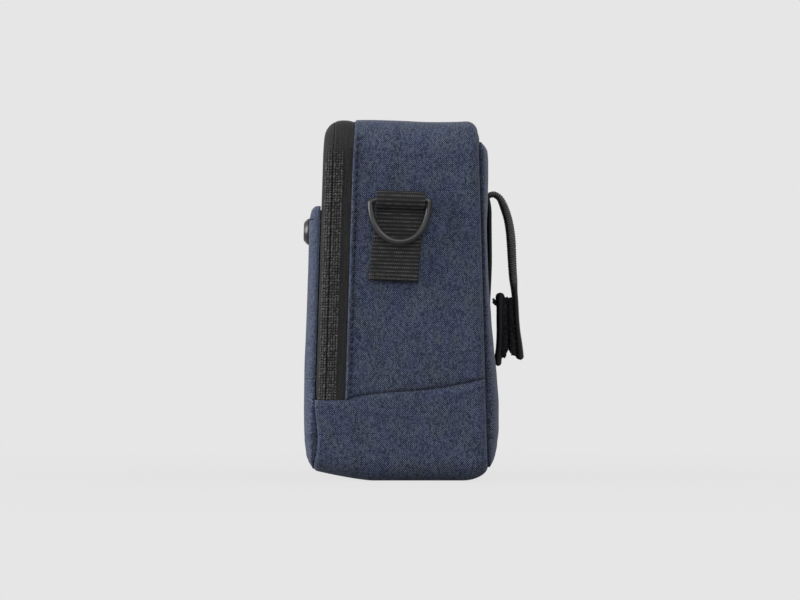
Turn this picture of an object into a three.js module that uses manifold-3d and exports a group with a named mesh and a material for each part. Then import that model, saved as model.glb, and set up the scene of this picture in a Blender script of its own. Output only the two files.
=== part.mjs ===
// A padded camera case that stands upright: a soft tray with a zipped front lid, a pocket on the
// lid closed by a press stud, a slip pocket and a belt loop on the back, and a D-ring on each side.
// Millimetres. X is the width, the lid is at the front (-Y), Z is up, and the origin is the middle
// of the flat base.
import * as THREE from "three";
import { mergeVertices } from "three/addons/utils/BufferGeometryUtils.js";
import Module from "manifold-3d";

const wasm = await Module();
wasm.setup();

// Outer form
const WIDTH = 120;
const HEIGHT = 150;
const BASE_DEPTH = 73.8;
const FRONT_LEAN = 0.031; // how far the front face leans back for each millimetre of height
const BACK_LEAN = 0.0276; // how far the back face leans forward for each millimetre of height
const FLAT_BASE_FRONT = -12; // the base is flat behind this line and rises in front of it
const FRONT_LIFT = 4.4;
const TOP_CORNER_ROUND = 15;
const BASE_CORNER_ROUND = 8;
const TOP_EDGE_ROUND = 6;
const FRONT_BASE_ROUND = 5;
const BACK_BASE_ROUND = 9;
const BASE_BREAK_ROUND = 20;
const FRONT_EDGE_ROUND = 3;
const BACK_EDGE_ROUND = 5;

// Wall, from the outside in
const FABRIC = 0.9;
const CLEAR = 0.3; // between neighbouring layers, and across each seam
const FOAM = 4;
const LINING = 0.8;
const BOARD = 1.5;
const BOARD_MARGIN = 8;
const BINDING = 1;
const BINDING_WIDTH = 4.2;
const LID_BINDING_WIDTH = 3;

// Boot: the lower part of the sides, with the base
const BOOT_FRONT_HEIGHT = 33.5;
const BOOT_BACK_HEIGHT = 42.2;
const BOOT_KNEE = -23; // its upper seam is level in front of this line and climbs behind it
const BOOT_FRONT_WRAP = 1.5; // from the front face back to its front seam

// Zip
const ZIP_FROM_FRONT = 4.8;
const ZIP_SLOT = 1.2; // between the two tapes, where the slider's neck runs
const TAPE = 0.6;
const RIM_FROM_FRONT = 11.6; // the folded edge of the side fabric over the tape
const TAPE_UNDER_RIM = 5;
const TAPE_UNDER_LID = 5;
const TAPE_UNDER_BOOT = 6;
const COIL = 1.3;
const COIL_WIDTH = 2;

// Lid, folding on a level line in front of the zip's ends
const FOLD_HEIGHT = 36;
const LID_FOAM = 3.5;
const LID_LINING_MARGIN = 6;

// Pockets. Proud is how far the sheet's face stands off the case; an end round is the height over
// which the sheet comes in to its foot or to its mouth.
const POCKET_SHEET = 1.1;
const FRONT_POCKET_MARGIN = 4; // in from the case's sides
const FRONT_POCKET_HALF_WIDTH = WIDTH / 2 - FRONT_POCKET_MARGIN;
const FRONT_POCKET_ROUND = 4;
const FRONT_POCKET_FOOT = 5.8;
const FRONT_POCKET_TOP = 114;
const FRONT_POCKET_PROUD = 4.8;
const FRONT_POCKET_FOOT_PROUD = 0.6;
const FRONT_POCKET_FOOT_ROUND = 9;
const FRONT_POCKET_MOUTH_PROUD = 2.7;
const FRONT_POCKET_MOUTH_ROUND = 5.5;
const FRONT_POCKET_BASE_TOP = 30; // below the fold, fixed to the tray
const FRONT_POCKET_TILT_HEIGHT = 42; // above this line the sheet tips forward to open the mouth
const BACK_POCKET_MARGIN = 5;
const BACK_POCKET_HALF_WIDTH = WIDTH / 2 - BACK_POCKET_MARGIN;
const BACK_POCKET_ROUND = 3;
const BACK_POCKET_FOOT = 6.8;
const BACK_POCKET_TOP = 140;
const BACK_POCKET_PROUD = 2.7;
const BACK_POCKET_FOOT_PROUD = 0.8;
const BACK_POCKET_FOOT_ROUND = 14;
const BACK_POCKET_MOUTH_PROUD = 1.9;
const BACK_POCKET_MOUTH_ROUND = 7;
const BACK_POCKET_SWELL = 1.7; // the sheet's belly, in the lower half of the case
const BACK_POCKET_SWELL_HEIGHT = 29;
const BACK_POCKET_SWELL_REACH = 44;
const BED_DEPTH = 1.7; // the belt strap presses the middle of the back pocket in
const BED_HALF_WIDTH = 17;
const BED_HEIGHT = 70;
const BED_REACH = 60;
const POCKET_STEPS = 7;

// Belt loop: a flat strap sewn down the back, an upper leaf and a lower leaf. The leaves' routes
// are [distance behind the case, height], from the root to the free end.
const STRAP_WIDTH = 30;
const FLAT_STRAP = 1.3;
const LEAF_STRAP = 2.4;
const PAD = 1.3;
const PAD_WIDTH = 28;
const STRAP_STEPS = 18;
const UPPER_LEAF_ROUTE = [
  [4.1, 119.2],
  [6.2, 118.9],
  [8.6, 114.4],
  [10.9, 104.2],
  [11.8, 87.5],
  [12.4, 75],
  [12.3, 66],
  [12.8, 58],
  [13.9, 51.9],
];
const LOWER_LEAF_ROUTE = [
  [5.1, 48.6],
  [6.1, 56],
  [6.3, 66],
  [6.6, 77],
];
const PAD_TOP = 75;
const PAD_FOOT = 56;

// D-rings and their webbing tabs
const RING_WIRE = 2.7;
const RING_WIDTH = 26;
const RING_DROP = 17; // from the middle of the bar to the middle of the bow
const RING_CORNER = 1.8;
const RING_LEAN = 8; // degrees that the ring stands off its tab at rest
const RING_HEIGHT = 116.7;
const RING_Y = -0.6;
const RING_ARC_STEPS = 16;
const RING_CORNER_STEPS = 3;
const RING_SIDES = 8;
const TAB_WIDTH = 20;
const TAB_WEBBING = 1.2;
const TAB_FOOT = 82.5;

// Press stud, measured out from the lid's outer face
const STUD_HEIGHT = 103.8;
const STUD_BASE_RADIUS = 5;
const STUD_BASE = 0.7;
const STUD_HEAD_RADIUS = 2;
const STUD_HEAD = 1.9;
const STUD_SHANK_RADIUS = 0.9;
const STUD_PLATE_RADIUS = 4.5;
const STUD_PLATE = 1;
const SOCKET_RADIUS = 4;
const CAP_RADIUS = 5.6;
const CAP_RIM = 0.7;
const CAP_CROWN_RADIUS = 3.7;
const CAP_HEIGHT = 1.9;
const STUD_SIDES = 20;

// Zip slider, parked at the lower left end of the zip
const SLIDER_HEIGHT = 47;
const SLIDER_LENGTH = 10;
const SLIDER_WIDTH = 8;
const SLIDER_WAIST = 6;
const SLIDER_PLATE = 1.4;
const SLIDER_INNER_WIDTH = 5;
const SLIDER_INNER_PLATE = 0.8;
const SLIDER_NECK_LENGTH = 4;
const CROWN_LENGTH = 6.8;
const CROWN_OPENING = 4.4;
const CROWN_HEIGHT = 2.8;
const CROWN_BAR = 1.1;
const CROWN_WIDTH = 1.6;
const PULLER_BAR = 1.1;
const PULLER_HEAD_WIDTH = 4.6;
const PULLER_EYE_LENGTH = 5.2;
const PULLER_LENGTH = 27;
const PULLER_FOOT_WIDTH = 6;
const PULLER_SLOT_LENGTH = 7;
const PULLER_SLOT_WIDTH = 2.4;

const ARC_STEPS = 4;
const LEAST_ROUND = 0.2;
const FAR = 200; // past every piece
const SHARED_FACE_EASE = 0.02; // keeps two outlines that cut one form from sharing a face

const FABRIC_BLUE = { color: 0x3c4355, roughness: 0.95, metalness: 0 };
const LINING_GREY = { color: 0x55585e, roughness: 0.95, metalness: 0 };
const FOAM_GREY = { color: 0x2b2c2f, roughness: 1, metalness: 0 };
const BOARD_GREY = { color: 0x1f2022, roughness: 0.6, metalness: 0 };
const TAPE_BLACK = { color: 0x292b2f, roughness: 0.85, metalness: 0 };
const COIL_BLACK = { color: 0x1b1b1c, roughness: 0.4, metalness: 0 };
const WEBBING_BLACK = { color: 0x26262a, roughness: 0.8, metalness: 0 };
const PAD_BLACK = { color: 0x17171a, roughness: 1, metalness: 0 };
const METAL_BLACK = { color: 0x333336, roughness: 0.35, metalness: 0.9 };

const tray = new THREE.Group();
const lid = new THREE.Group();
const pocketFlap = new THREE.Group();
const cameraCase = new THREE.Group();
cameraCase.add(tray, lid, pocketFlap);

// Depths into the wall at which each layer starts and ends
const tapeDepth = FABRIC + CLEAR;
const tapeInside = tapeDepth + TAPE;
const coilDepth = tapeInside + CLEAR;
const coilInside = coilDepth + COIL;
const foamDepth = FABRIC + CLEAR;
const foamInside = foamDepth + FOAM;
const liningDepth = foamInside + CLEAR;
const liningInside = liningDepth + LINING;
const lidFoamInside = foamDepth + LID_FOAM;
const lidLiningDepth = lidFoamInside + CLEAR;
const lidLiningInside = lidLiningDepth + LINING;
const tapeRear = RIM_FROM_FRONT + TAPE_UNDER_RIM;
const foamRim = tapeRear + CLEAR;
const tapeFoot = BOOT_FRONT_HEIGHT - TAPE_UNDER_BOOT;

function frontAt(z) {
  return -BASE_DEPTH / 2 + FRONT_LEAN * z;
}

function backAt(z) {
  return BASE_DEPTH / 2 - BACK_LEAN * z;
}

function fromFront(distance) {
  return (z) => frontAt(z) + distance;
}

function fromBack(distance) {
  return (z) => backAt(z) - distance;
}

function farFront() {
  return -FAR;
}

function farBack() {
  return FAR;
}

function toSolid(geometry) {
  const bare = geometry.clone();
  bare.deleteAttribute("normal");
  bare.deleteAttribute("uv");
  const merged = mergeVertices(bare, 1e-4);
  const mesh = new wasm.Mesh({
    numProp: 3,
    vertProperties: merged.attributes.position.array,
    triVerts: new Uint32Array(merged.index.array),
  });
  return new wasm.Manifold(mesh);
}

function toGeometry(solid) {
  const mesh = solid.getMesh();
  const geometry = new THREE.BufferGeometry();
  geometry.setAttribute("position", new THREE.BufferAttribute(mesh.vertProperties, 3));
  geometry.setIndex(new THREE.BufferAttribute(mesh.triVerts, 1));
  geometry.computeVertexNormals();
  return geometry;
}

function addPiece(group, name, shape, finish) {
  const geometry = shape.isBufferGeometry ? shape : toGeometry(shape);
  const piece = new THREE.Mesh(geometry, new THREE.MeshStandardMaterial(finish));
  piece.name = name;
  group.add(piece);
  return piece;
}

// A skin through rings of as many points each, closed at its ends or joined into a loop.
function loft(rings, looped = false) {
  const count = rings[0].length;
  const faces = [];
  const joins = looped ? rings.length : rings.length - 1;
  for (let r = 0; r < joins; r += 1) {
    const lower = r * count;
    const upper = ((r + 1) % rings.length) * count;
    for (let i = 0; i < count; i += 1) {
      const next = (i + 1) % count;
      faces.push(lower + i, lower + next, upper + next);
      faces.push(lower + i, upper + next, upper + i);
    }
  }
  const last = (rings.length - 1) * count;
  for (let i = 1; !looped && i + 1 < count; i += 1) {
    faces.push(0, i + 1, i);
    faces.push(last, last + i, last + i + 1);
  }
  const geometry = new THREE.BufferGeometry();
  geometry.setFromPoints(rings.flat());
  geometry.setIndex(faces);
  geometry.computeVertexNormals();
  return geometry;
}

function extrude(points, length) {
  const outline = new THREE.Shape(points.map(([u, v]) => new THREE.Vector2(u, v)));
  return new THREE.ExtrudeGeometry(outline, { depth: length, bevelEnabled: false });
}

// An outline of [y, z] points, run from one x to another.
function prismX(points, from, to) {
  const turn = new THREE.Matrix4().makeBasis(
    new THREE.Vector3(0, 1, 0),
    new THREE.Vector3(0, 0, 1),
    new THREE.Vector3(1, 0, 0),
  );
  return extrude(points, to - from).applyMatrix4(turn).translate(from, 0, 0);
}

// An outline of [x, z] points, run from one y to another.
function prismY(points, from, to) {
  const turn = new THREE.Matrix4().makeBasis(
    new THREE.Vector3(1, 0, 0),
    new THREE.Vector3(0, 0, 1),
    new THREE.Vector3(0, -1, 0),
  );
  return extrude(points, to - from).applyMatrix4(turn).translate(0, to, 0);
}

// Corners are [u, v, radius] and run anticlockwise; the outline is set in by inset.
function roundedOutline(corners, inset = 0) {
  const sides = corners.map(([u, v], i) => {
    const [nextU, nextV] = corners[(i + 1) % corners.length];
    const along = new THREE.Vector2(nextU - u, nextV - v).normalize();
    const start = new THREE.Vector2(u - along.y * inset, v + along.x * inset);
    return { along, start };
  });
  return sides.flatMap((side, i) => {
    const before = sides.at(i - 1);
    const sine = before.along.cross(side.along);
    const turn = Math.atan2(sine, before.along.dot(side.along));
    const apart = side.start.clone().sub(before.start);
    const reach = apart.cross(side.along) / sine;
    const radius = Math.max(corners[i][2] - inset, LEAST_ROUND);
    const inward = side.along.clone().sub(before.along).normalize();
    const centre = before.start.clone().addScaledVector(before.along, reach);
    centre.addScaledVector(inward, radius / Math.cos(turn / 2));
    const first = Math.atan2(-before.along.x, before.along.y);
    return arc(centre.x, centre.y, radius, first, first + turn, ARC_STEPS);
  });
}

function arc(u, v, radius, from, to, steps) {
  const points = [];
  for (let i = 0; i <= steps; i += 1) {
    const angle = from + ((to - from) * i) / steps;
    points.push([u + radius * Math.cos(angle), v + radius * Math.sin(angle)]);
  }
  return points;
}

function sideOutline(inset) {
  const corners = [
    [frontAt(FRONT_LIFT), FRONT_LIFT, FRONT_BASE_ROUND],
    [FLAT_BASE_FRONT, 0, BASE_BREAK_ROUND],
    [backAt(0), 0, BACK_BASE_ROUND],
    [backAt(HEIGHT), HEIGHT, TOP_EDGE_ROUND],
    [frontAt(HEIGHT), HEIGHT, TOP_EDGE_ROUND],
  ];
  return roundedOutline(corners, inset);
}

function frontOutline(inset) {
  const corners = [
    [-WIDTH / 2, 0, BASE_CORNER_ROUND],
    [WIDTH / 2, 0, BASE_CORNER_ROUND],
    [WIDTH / 2, HEIGHT, TOP_CORNER_ROUND],
    [-WIDTH / 2, HEIGHT, TOP_CORNER_ROUND],
  ];
  return roundedOutline(corners, inset);
}

function planRing(z, inset) {
  const corners = [
    [-WIDTH / 2, frontAt(z), FRONT_EDGE_ROUND],
    [WIDTH / 2, frontAt(z), FRONT_EDGE_ROUND],
    [WIDTH / 2, backAt(z), BACK_EDGE_ROUND],
    [-WIDTH / 2, backAt(z), BACK_EDGE_ROUND],
  ];
  return roundedOutline(corners, inset).map(([x, y]) => new THREE.Vector3(x, y, z));
}

// The whole case as one form, set in by inset from its outer face.
const forms = new Map();
function caseForm(inset) {
  if (!forms.has(inset)) {
    const planInset = inset - SHARED_FACE_EASE;
    const plan = toSolid(loft([planRing(-CLEAR, planInset), planRing(HEIGHT + CLEAR, planInset)]));
    const side = toSolid(prismX(sideOutline(inset), -WIDTH, WIDTH));
    const front = toSolid(prismY(frontOutline(inset), -BASE_DEPTH, BASE_DEPTH));
    forms.set(inset, plan.intersect(side).intersect(front));
  }
  return forms.get(inset);
}

function layer(outside, inside) {
  return caseForm(outside).subtract(caseForm(inside));
}

// The space between two lines that run up the case, from one height to another.
function band(near, far, from = -FAR, to = FAR) {
  const outline = [
    [near(from), from],
    [far(from), from],
    [far(to), to],
    [near(to), to],
  ];
  return toSolid(prismX(outline, -FAR, FAR));
}

function belowBootSeam(extra = 0) {
  const climb = (BOOT_BACK_HEIGHT - BOOT_FRONT_HEIGHT) / (backAt(BOOT_BACK_HEIGHT) - BOOT_KNEE);
  const outline = [
    [-FAR, -FAR],
    [FAR, -FAR],
    [FAR, BOOT_FRONT_HEIGHT + climb * (FAR - BOOT_KNEE) + extra],
    [BOOT_KNEE, BOOT_FRONT_HEIGHT + extra],
    [-FAR, BOOT_FRONT_HEIGHT + extra],
  ];
  return toSolid(prismX(outline, -FAR, FAR));
}

// The part of the case's front or back that lies inside its outline by a margin.
function frontWindow(margin) {
  return toSolid(prismY(frontOutline(margin), -FAR, 0));
}

function backWindow(margin) {
  return toSolid(prismY(frontOutline(margin), 0, FAR));
}

function outerFabric() {
  const skin = layer(0, FABRIC);
  const lowerFront = band(farFront, fromFront(BOOT_FRONT_WRAP), FRONT_LIFT, FOLD_HEIGHT - CLEAR);
  const lowerFrontRoom = band(farFront, fromFront(BOOT_FRONT_WRAP + CLEAR), FRONT_LIFT - CLEAR);
  const backRoom = backWindow(BACK_EDGE_ROUND - CLEAR).intersect(band(fromBack(2 * FABRIC), farBack));
  const back = skin.intersect(backWindow(BACK_EDGE_ROUND)).intersect(band(fromBack(2 * FABRIC), farBack));
  const sides = skin.intersect(band(fromFront(RIM_FROM_FRONT), farBack)).subtract(belowBootSeam(CLEAR));
  const boot = skin.intersect(belowBootSeam()).subtract(lowerFrontRoom).subtract(backRoom);
  addPiece(tray, "side_top_gusset", sides.subtract(backRoom), FABRIC_BLUE);
  addPiece(tray, "boot", boot, FABRIC_BLUE);
  addPiece(tray, "back_panel", back, FABRIC_BLUE);
  addPiece(tray, "lower_front_panel", skin.intersect(lowerFront), FABRIC_BLUE);
  const lidFace = band(farFront, fromFront(2 * FABRIC), FOLD_HEIGHT + CLEAR);
  const lidPanel = skin.intersect(frontWindow(FRONT_EDGE_ROUND)).intersect(lidFace);
  addPiece(lid, "lid_panel", lidPanel.subtract(studHole(STUD_SHANK_RADIUS + CLEAR)), FABRIC_BLUE);
}

function padding() {
  const foam = layer(foamDepth, foamInside);
  const wallTop = foamInside + CLEAR;
  const lowWall = band(fromFront(wallTop), fromBack(wallTop), wallTop + FRONT_LIFT, tapeFoot - CLEAR);
  const highWall = band(fromFront(foamRim), fromBack(wallTop), wallTop + FRONT_LIFT);
  const floor = band(fromFront(wallTop), fromBack(wallTop), -FAR, wallTop + FRONT_LIFT - CLEAR);
  const front = band(farFront, fromFront(wallTop - CLEAR), -FAR, FOLD_HEIGHT - CLEAR);
  addPiece(tray, "gusset_foam", foam.intersect(lowWall.add(highWall)), FOAM_GREY);
  addPiece(tray, "base_foam", foam.intersect(floor).subtract(baseBoard(CLEAR)), FOAM_GREY);
  addPiece(tray, "back_foam", foam.intersect(band(fromBack(foamInside), farBack)), FOAM_GREY);
  addPiece(tray, "lower_front_foam", foam.intersect(front), FOAM_GREY);
  addPiece(tray, "base_board", baseBoard(0), BOARD_GREY);
  const lidFoam = layer(foamDepth, lidFoamInside)
    .intersect(frontWindow(FRONT_EDGE_ROUND + TAPE_UNDER_LID + CLEAR))
    .intersect(band(farFront, fromFront(lidFoamInside), FOLD_HEIGHT + CLEAR));
  addPiece(lid, "lid_foam", lidFoam.subtract(studHole(STUD_PLATE_RADIUS + CLEAR)), FOAM_GREY);
}

// A stiff board between the base fabric and the base foam.
function baseBoard(room) {
  const low = FABRIC + CLEAR - room;
  const high = FABRIC + CLEAR + BOARD + room;
  const half = WIDTH / 2 - BOARD_MARGIN + room;
  const front = FLAT_BASE_FRONT + CLEAR - room;
  const back = backAt(0) - BACK_BASE_ROUND + room;
  const outline = [
    [front, low],
    [back, low],
    [back, high],
    [front, high],
  ];
  return toSolid(prismX(outline, -half, half));
}

function linings() {
  const cloth = layer(liningDepth, liningInside);
  const behindFront = band(fromFront(liningInside + CLEAR), fromBack(liningInside + CLEAR), -FAR, FOLD_HEIGHT);
  const behindRim = band(fromFront(foamRim), fromBack(liningInside + CLEAR), FOLD_HEIGHT - CLEAR);
  const front = band(farFront, fromFront(liningInside), -FAR, FOLD_HEIGHT - CLEAR);
  addPiece(tray, "gusset_lining", cloth.intersect(behindFront.add(behindRim)), LINING_GREY);
  addPiece(tray, "back_lining", cloth.intersect(band(fromBack(liningInside), farBack)), LINING_GREY);
  addPiece(tray, "lower_front_lining", cloth.intersect(front), LINING_GREY);
  const lidCloth = layer(lidLiningDepth, lidLiningInside)
    .intersect(frontWindow(LID_LINING_MARGIN))
    .intersect(band(farFront, fromFront(lidLiningInside), FOLD_HEIGHT + CLEAR));
  addPiece(lid, "lid_lining", lidCloth, LINING_GREY);
}

function bindings() {
  const strip = layer(coilDepth, coilDepth + BINDING);
  const rim = band(fromFront(tapeRear - BINDING_WIDTH), fromFront(tapeRear), tapeFoot);
  addPiece(tray, "rim_binding", strip.intersect(rim), TAPE_BLACK);
  const outer = FRONT_EDGE_ROUND + TAPE_UNDER_LID - LID_BINDING_WIDTH;
  const ring = frontWindow(outer).subtract(frontWindow(FRONT_EDGE_ROUND + TAPE_UNDER_LID));
  const face = band(farFront, fromFront(coilDepth + BINDING), FOLD_HEIGHT + CLEAR);
  addPiece(lid, "lid_binding", strip.intersect(ring).intersect(face), TAPE_BLACK);
}

function zipHalves() {
  const tape = layer(tapeDepth, tapeInside);
  const coil = layer(coilDepth, coilInside);
  const rear = ZIP_FROM_FRONT + ZIP_SLOT / 2;
  const front = ZIP_FROM_FRONT - ZIP_SLOT / 2;
  addPiece(tray, "zip_tape_body", tape.intersect(band(fromFront(rear), fromFront(tapeRear), tapeFoot)), TAPE_BLACK);
  addPiece(tray, "zip_coil_body", coil.intersect(band(fromFront(rear), fromFront(rear + COIL_WIDTH), tapeFoot)), COIL_BLACK);
  const lidTape = tape
    .intersect(band(farFront, fromFront(front), FOLD_HEIGHT + CLEAR))
    .subtract(frontWindow(FRONT_EDGE_ROUND + TAPE_UNDER_LID));
  addPiece(lid, "zip_tape_lid", lidTape, TAPE_BLACK);
  const lidCoil = coil
    .intersect(band(fromFront(front - COIL_WIDTH), fromFront(front), FOLD_HEIGHT + CLEAR))
    .subtract(frontWindow(coilInside));
  addPiece(lid, "zip_coil_lid", lidCoil, COIL_BLACK);
}

const frontPocketForm = {
  half: FRONT_POCKET_HALF_WIDTH,
  round: FRONT_POCKET_ROUND,
  foot: FRONT_POCKET_FOOT,
  footRound: FRONT_POCKET_FOOT_ROUND,
  footProud: FRONT_POCKET_FOOT_PROUD,
  top: FRONT_POCKET_TOP,
  topRound: FRONT_POCKET_MOUTH_ROUND,
  topProud: FRONT_POCKET_MOUTH_PROUD,
  fullAt: () => FRONT_POCKET_PROUD,
  pressAt: () => 0,
  faceAt: (z) => -frontAt(z),
};

const backPocketForm = {
  half: BACK_POCKET_HALF_WIDTH,
  round: BACK_POCKET_ROUND,
  foot: BACK_POCKET_FOOT,
  footRound: BACK_POCKET_FOOT_ROUND,
  footProud: BACK_POCKET_FOOT_PROUD,
  top: BACK_POCKET_TOP,
  topRound: BACK_POCKET_MOUTH_ROUND,
  topProud: BACK_POCKET_MOUTH_PROUD,
  fullAt: (z) => {
    const off = (z - BACK_POCKET_SWELL_HEIGHT) / BACK_POCKET_SWELL_REACH;
    return BACK_POCKET_PROUD + BACK_POCKET_SWELL * swell(off);
  },
  pressAt: (z) => BED_DEPTH * swell((z - BED_HEIGHT) / BED_REACH),
  faceAt: backAt,
};

// A smooth hump: 1 at its middle and 0 from its reach outwards.
function swell(off) {
  return Math.abs(off) < 1 ? Math.cos((Math.PI / 2) * off) ** 2 : 0;
}

// How far a pocket's sheet stands off the case at a height, by quarter rounds at both ends.
function proudAt(form, z) {
  const toFoot = Math.max(form.foot + form.footRound - z, 0) / form.footRound;
  const toTop = Math.max(z - form.top + form.topRound, 0) / form.topRound;
  const full = form.fullAt(z);
  const footShare = 1 - Math.sqrt(Math.max(1 - toFoot ** 2, 0));
  const topShare = 1 - Math.sqrt(Math.max(1 - toTop ** 2, 0));
  return full - (full - form.footProud) * footShare - (full - form.topProud) * topShare;
}

// Heights up a pocket, closer together in the end rounds.
function pocketHeights({ foot, footRound, top, topRound }) {
  const heights = [];
  const bend = (i) => (Math.PI / 2) * (i / ARC_STEPS);
  const rise = (top - topRound - foot - footRound) / POCKET_STEPS;
  for (let i = 0; i < ARC_STEPS; i += 1) {
    heights.push(foot + footRound * (1 - Math.cos(bend(i))));
  }
  for (let i = 0; i <= POCKET_STEPS; i += 1) {
    heights.push(foot + footRound + rise * i);
  }
  for (let i = 1; i <= ARC_STEPS; i += 1) {
    heights.push(top - topRound + topRound * Math.sin(bend(i)));
  }
  return heights;
}

// One level section through a pocket, as a shallow tray that faces away from the case. The back
// of the section lies off the case by seat, and its other sides are set in by inset.
function pocketRing(form, at, z, seat, inset) {
  const near = form.faceAt(z) + seat;
  const edge = form.faceAt(at) + proudAt(form, at) - inset;
  const bed = edge - form.pressAt(at);
  const side = form.half - inset;
  const bend = Math.min(Math.max(form.round - inset, LEAST_ROUND), edge - near - LEAST_ROUND);
  const points = [
    [-side, near],
    [side, near],
    ...arc(side - bend, edge - bend, bend, 0, Math.PI / 2, ARC_STEPS),
    [BED_HALF_WIDTH, bed],
    [-BED_HALF_WIDTH, bed],
    ...arc(bend - side, edge - bend, bend, Math.PI / 2, Math.PI, ARC_STEPS),
  ];
  return points.map(([x, y]) => new THREE.Vector3(x, y, z));
}

// A pocket on the back of the case; mirrored, it is one on the front.
function pocketShell(form) {
  const heights = pocketHeights(form);
  const outer = heights.map((z) => pocketRing(form, z, z, CLEAR, 0));
  const room = heights.map((z) => pocketRing(form, z, z, -POCKET_SHEET, POCKET_SHEET));
  const mouth = pocketRing(form, form.top, form.top + POCKET_SHEET, -POCKET_SHEET, POCKET_SHEET);
  const aboveFloor = band(farFront, farBack, form.foot + POCKET_SHEET);
  return toSolid(loft(outer)).subtract(toSolid(loft([...room, mouth])).intersect(aboveFloor));
}

function acrossX(from, to) {
  const outline = [
    [-FAR, -FAR],
    [FAR, -FAR],
    [FAR, FAR],
    [-FAR, FAR],
  ];
  return toSolid(prismX(outline, from, to));
}

function frontPocket() {
  const shell = pocketShell(frontPocketForm).mirror([0, 1, 0]);
  const sheetHalf = FRONT_POCKET_HALF_WIDTH - FRONT_POCKET_ROUND;
  const base = band(farFront, farBack, -FAR, FRONT_POCKET_BASE_TOP);
  const fold = band(farFront, farBack, FRONT_POCKET_BASE_TOP + CLEAR, FRONT_POCKET_TILT_HEIGHT - CLEAR);
  const upper = shell.intersect(band(farFront, farBack, FRONT_POCKET_TILT_HEIGHT));
  const sheet = upper.intersect(acrossX(-sheetHalf, sheetHalf));
  addPiece(tray, "front_pocket_base", shell.intersect(base), FABRIC_BLUE);
  addPiece(lid, "front_pocket_fold", shell.intersect(fold), FABRIC_BLUE);
  addPiece(lid, "front_pocket_side_right", upper.intersect(acrossX(sheetHalf + CLEAR, FAR)), FABRIC_BLUE);
  addPiece(lid, "front_pocket_side_left", upper.intersect(acrossX(-FAR, -sheetHalf - CLEAR)), FABRIC_BLUE);
  const shankRoom = studHole(STUD_SHANK_RADIUS + CLEAR);
  addPiece(pocketFlap, "front_pocket_panel", sheet.subtract(shankRoom), FABRIC_BLUE);
}

function backPocket() {
  addPiece(tray, "back_pocket_panel", pocketShell(backPocketForm), FABRIC_BLUE);
}

// A strap seen edge on: a strip of even thickness with round ends along a path of (y, z).
function strip(path, thickness, width) {
  const half = thickness / 2;
  const left = [];
  const right = [];
  for (let i = 0; i <= STRAP_STEPS; i += 1) {
    const point = path.getPoint(i / STRAP_STEPS);
    const along = path.getTangent(i / STRAP_STEPS);
    left.push([point.x - along.y * half, point.y + along.x * half]);
    right.unshift([point.x + along.y * half, point.y - along.x * half]);
  }
  const outline = [...left, ...endCap(path, 1, half), ...right, ...endCap(path, 0, half)];
  return prismX(outline.reverse(), -width / 2, width / 2);
}

function endCap(path, at, half) {
  const middle = path.getPoint(at);
  const along = path.getTangent(at).multiplyScalar(at ? 1 : -1);
  const heading = Math.atan2(along.y, along.x);
  const round = arc(middle.x, middle.y, half, heading + Math.PI / 2, heading - Math.PI / 2, ARC_STEPS);
  return round.slice(1, -1);
}

function leafPath(route) {
  return new THREE.SplineCurve(route.map(([off, z]) => new THREE.Vector2(backAt(z) + off, z)));
}

// The flat strap's middle line, between the leaves' roots, down the bed that it presses in.
function bedPath() {
  const points = [];
  const reach = (LEAF_STRAP + FLAT_STRAP) / 2 + CLEAR;
  const top = UPPER_LEAF_ROUTE[0][1] - reach;
  const foot = LOWER_LEAF_ROUTE[0][1] + reach;
  for (let i = 0; i <= STRAP_STEPS; i += 1) {
    const z = top + ((foot - top) * i) / STRAP_STEPS;
    const face = backAt(z) + proudAt(backPocketForm, z) - backPocketForm.pressAt(z);
    points.push(new THREE.Vector2(face + CLEAR + FLAT_STRAP / 2, z));
  }
  return new THREE.SplineCurve(points);
}

// The pad's middle line, along one face of a leaf between the pads' ends.
function padPath(leaf, hand) {
  const offset = hand * (LEAF_STRAP / 2 + CLEAR + PAD / 2);
  const points = leaf.getPoints(STRAP_STEPS).filter((p) => p.y > PAD_FOOT && p.y < PAD_TOP);
  return new THREE.SplineCurve(points.map((p) => new THREE.Vector2(p.x + offset, p.y)));
}

function beltLoop() {
  const upper = leafPath(UPPER_LEAF_ROUTE);
  const lower = leafPath(LOWER_LEAF_ROUTE);
  const upperLeaf = new THREE.Group();
  cameraCase.add(upperLeaf);
  addPiece(tray, "belt_strap_base", strip(bedPath(), FLAT_STRAP, STRAP_WIDTH), WEBBING_BLACK);
  addPiece(upperLeaf, "belt_strap_upper", strip(upper, LEAF_STRAP, STRAP_WIDTH), WEBBING_BLACK);
  addPiece(upperLeaf, "loop_pad", strip(padPath(upper, -1), PAD, PAD_WIDTH), PAD_BLACK);
  addPiece(tray, "belt_strap_lower", strip(lower, LEAF_STRAP, STRAP_WIDTH), WEBBING_BLACK);
  addPiece(tray, "hook_pad", strip(padPath(lower, 1), PAD, PAD_WIDTH), PAD_BLACK);
}

// The ring's bar and its corners, then the bow below, as one loop of [y, z] points.
function ringPath() {
  const half = (RING_WIDTH - RING_WIRE) / 2;
  const bar = half - RING_CORNER;
  const bow = RING_DROP - RING_CORNER;
  const points = [];
  points.push(...arc(-bar, -RING_CORNER, RING_CORNER, Math.PI, Math.PI / 2, RING_CORNER_STEPS));
  points.push(...arc(bar, -RING_CORNER, RING_CORNER, Math.PI / 2, 0, RING_CORNER_STEPS));
  for (let i = 1; i < RING_ARC_STEPS; i += 1) {
    const angle = (Math.PI * i) / RING_ARC_STEPS;
    points.push([half * Math.cos(angle), -RING_CORNER - bow * Math.sin(angle)]);
  }
  return points;
}

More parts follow.
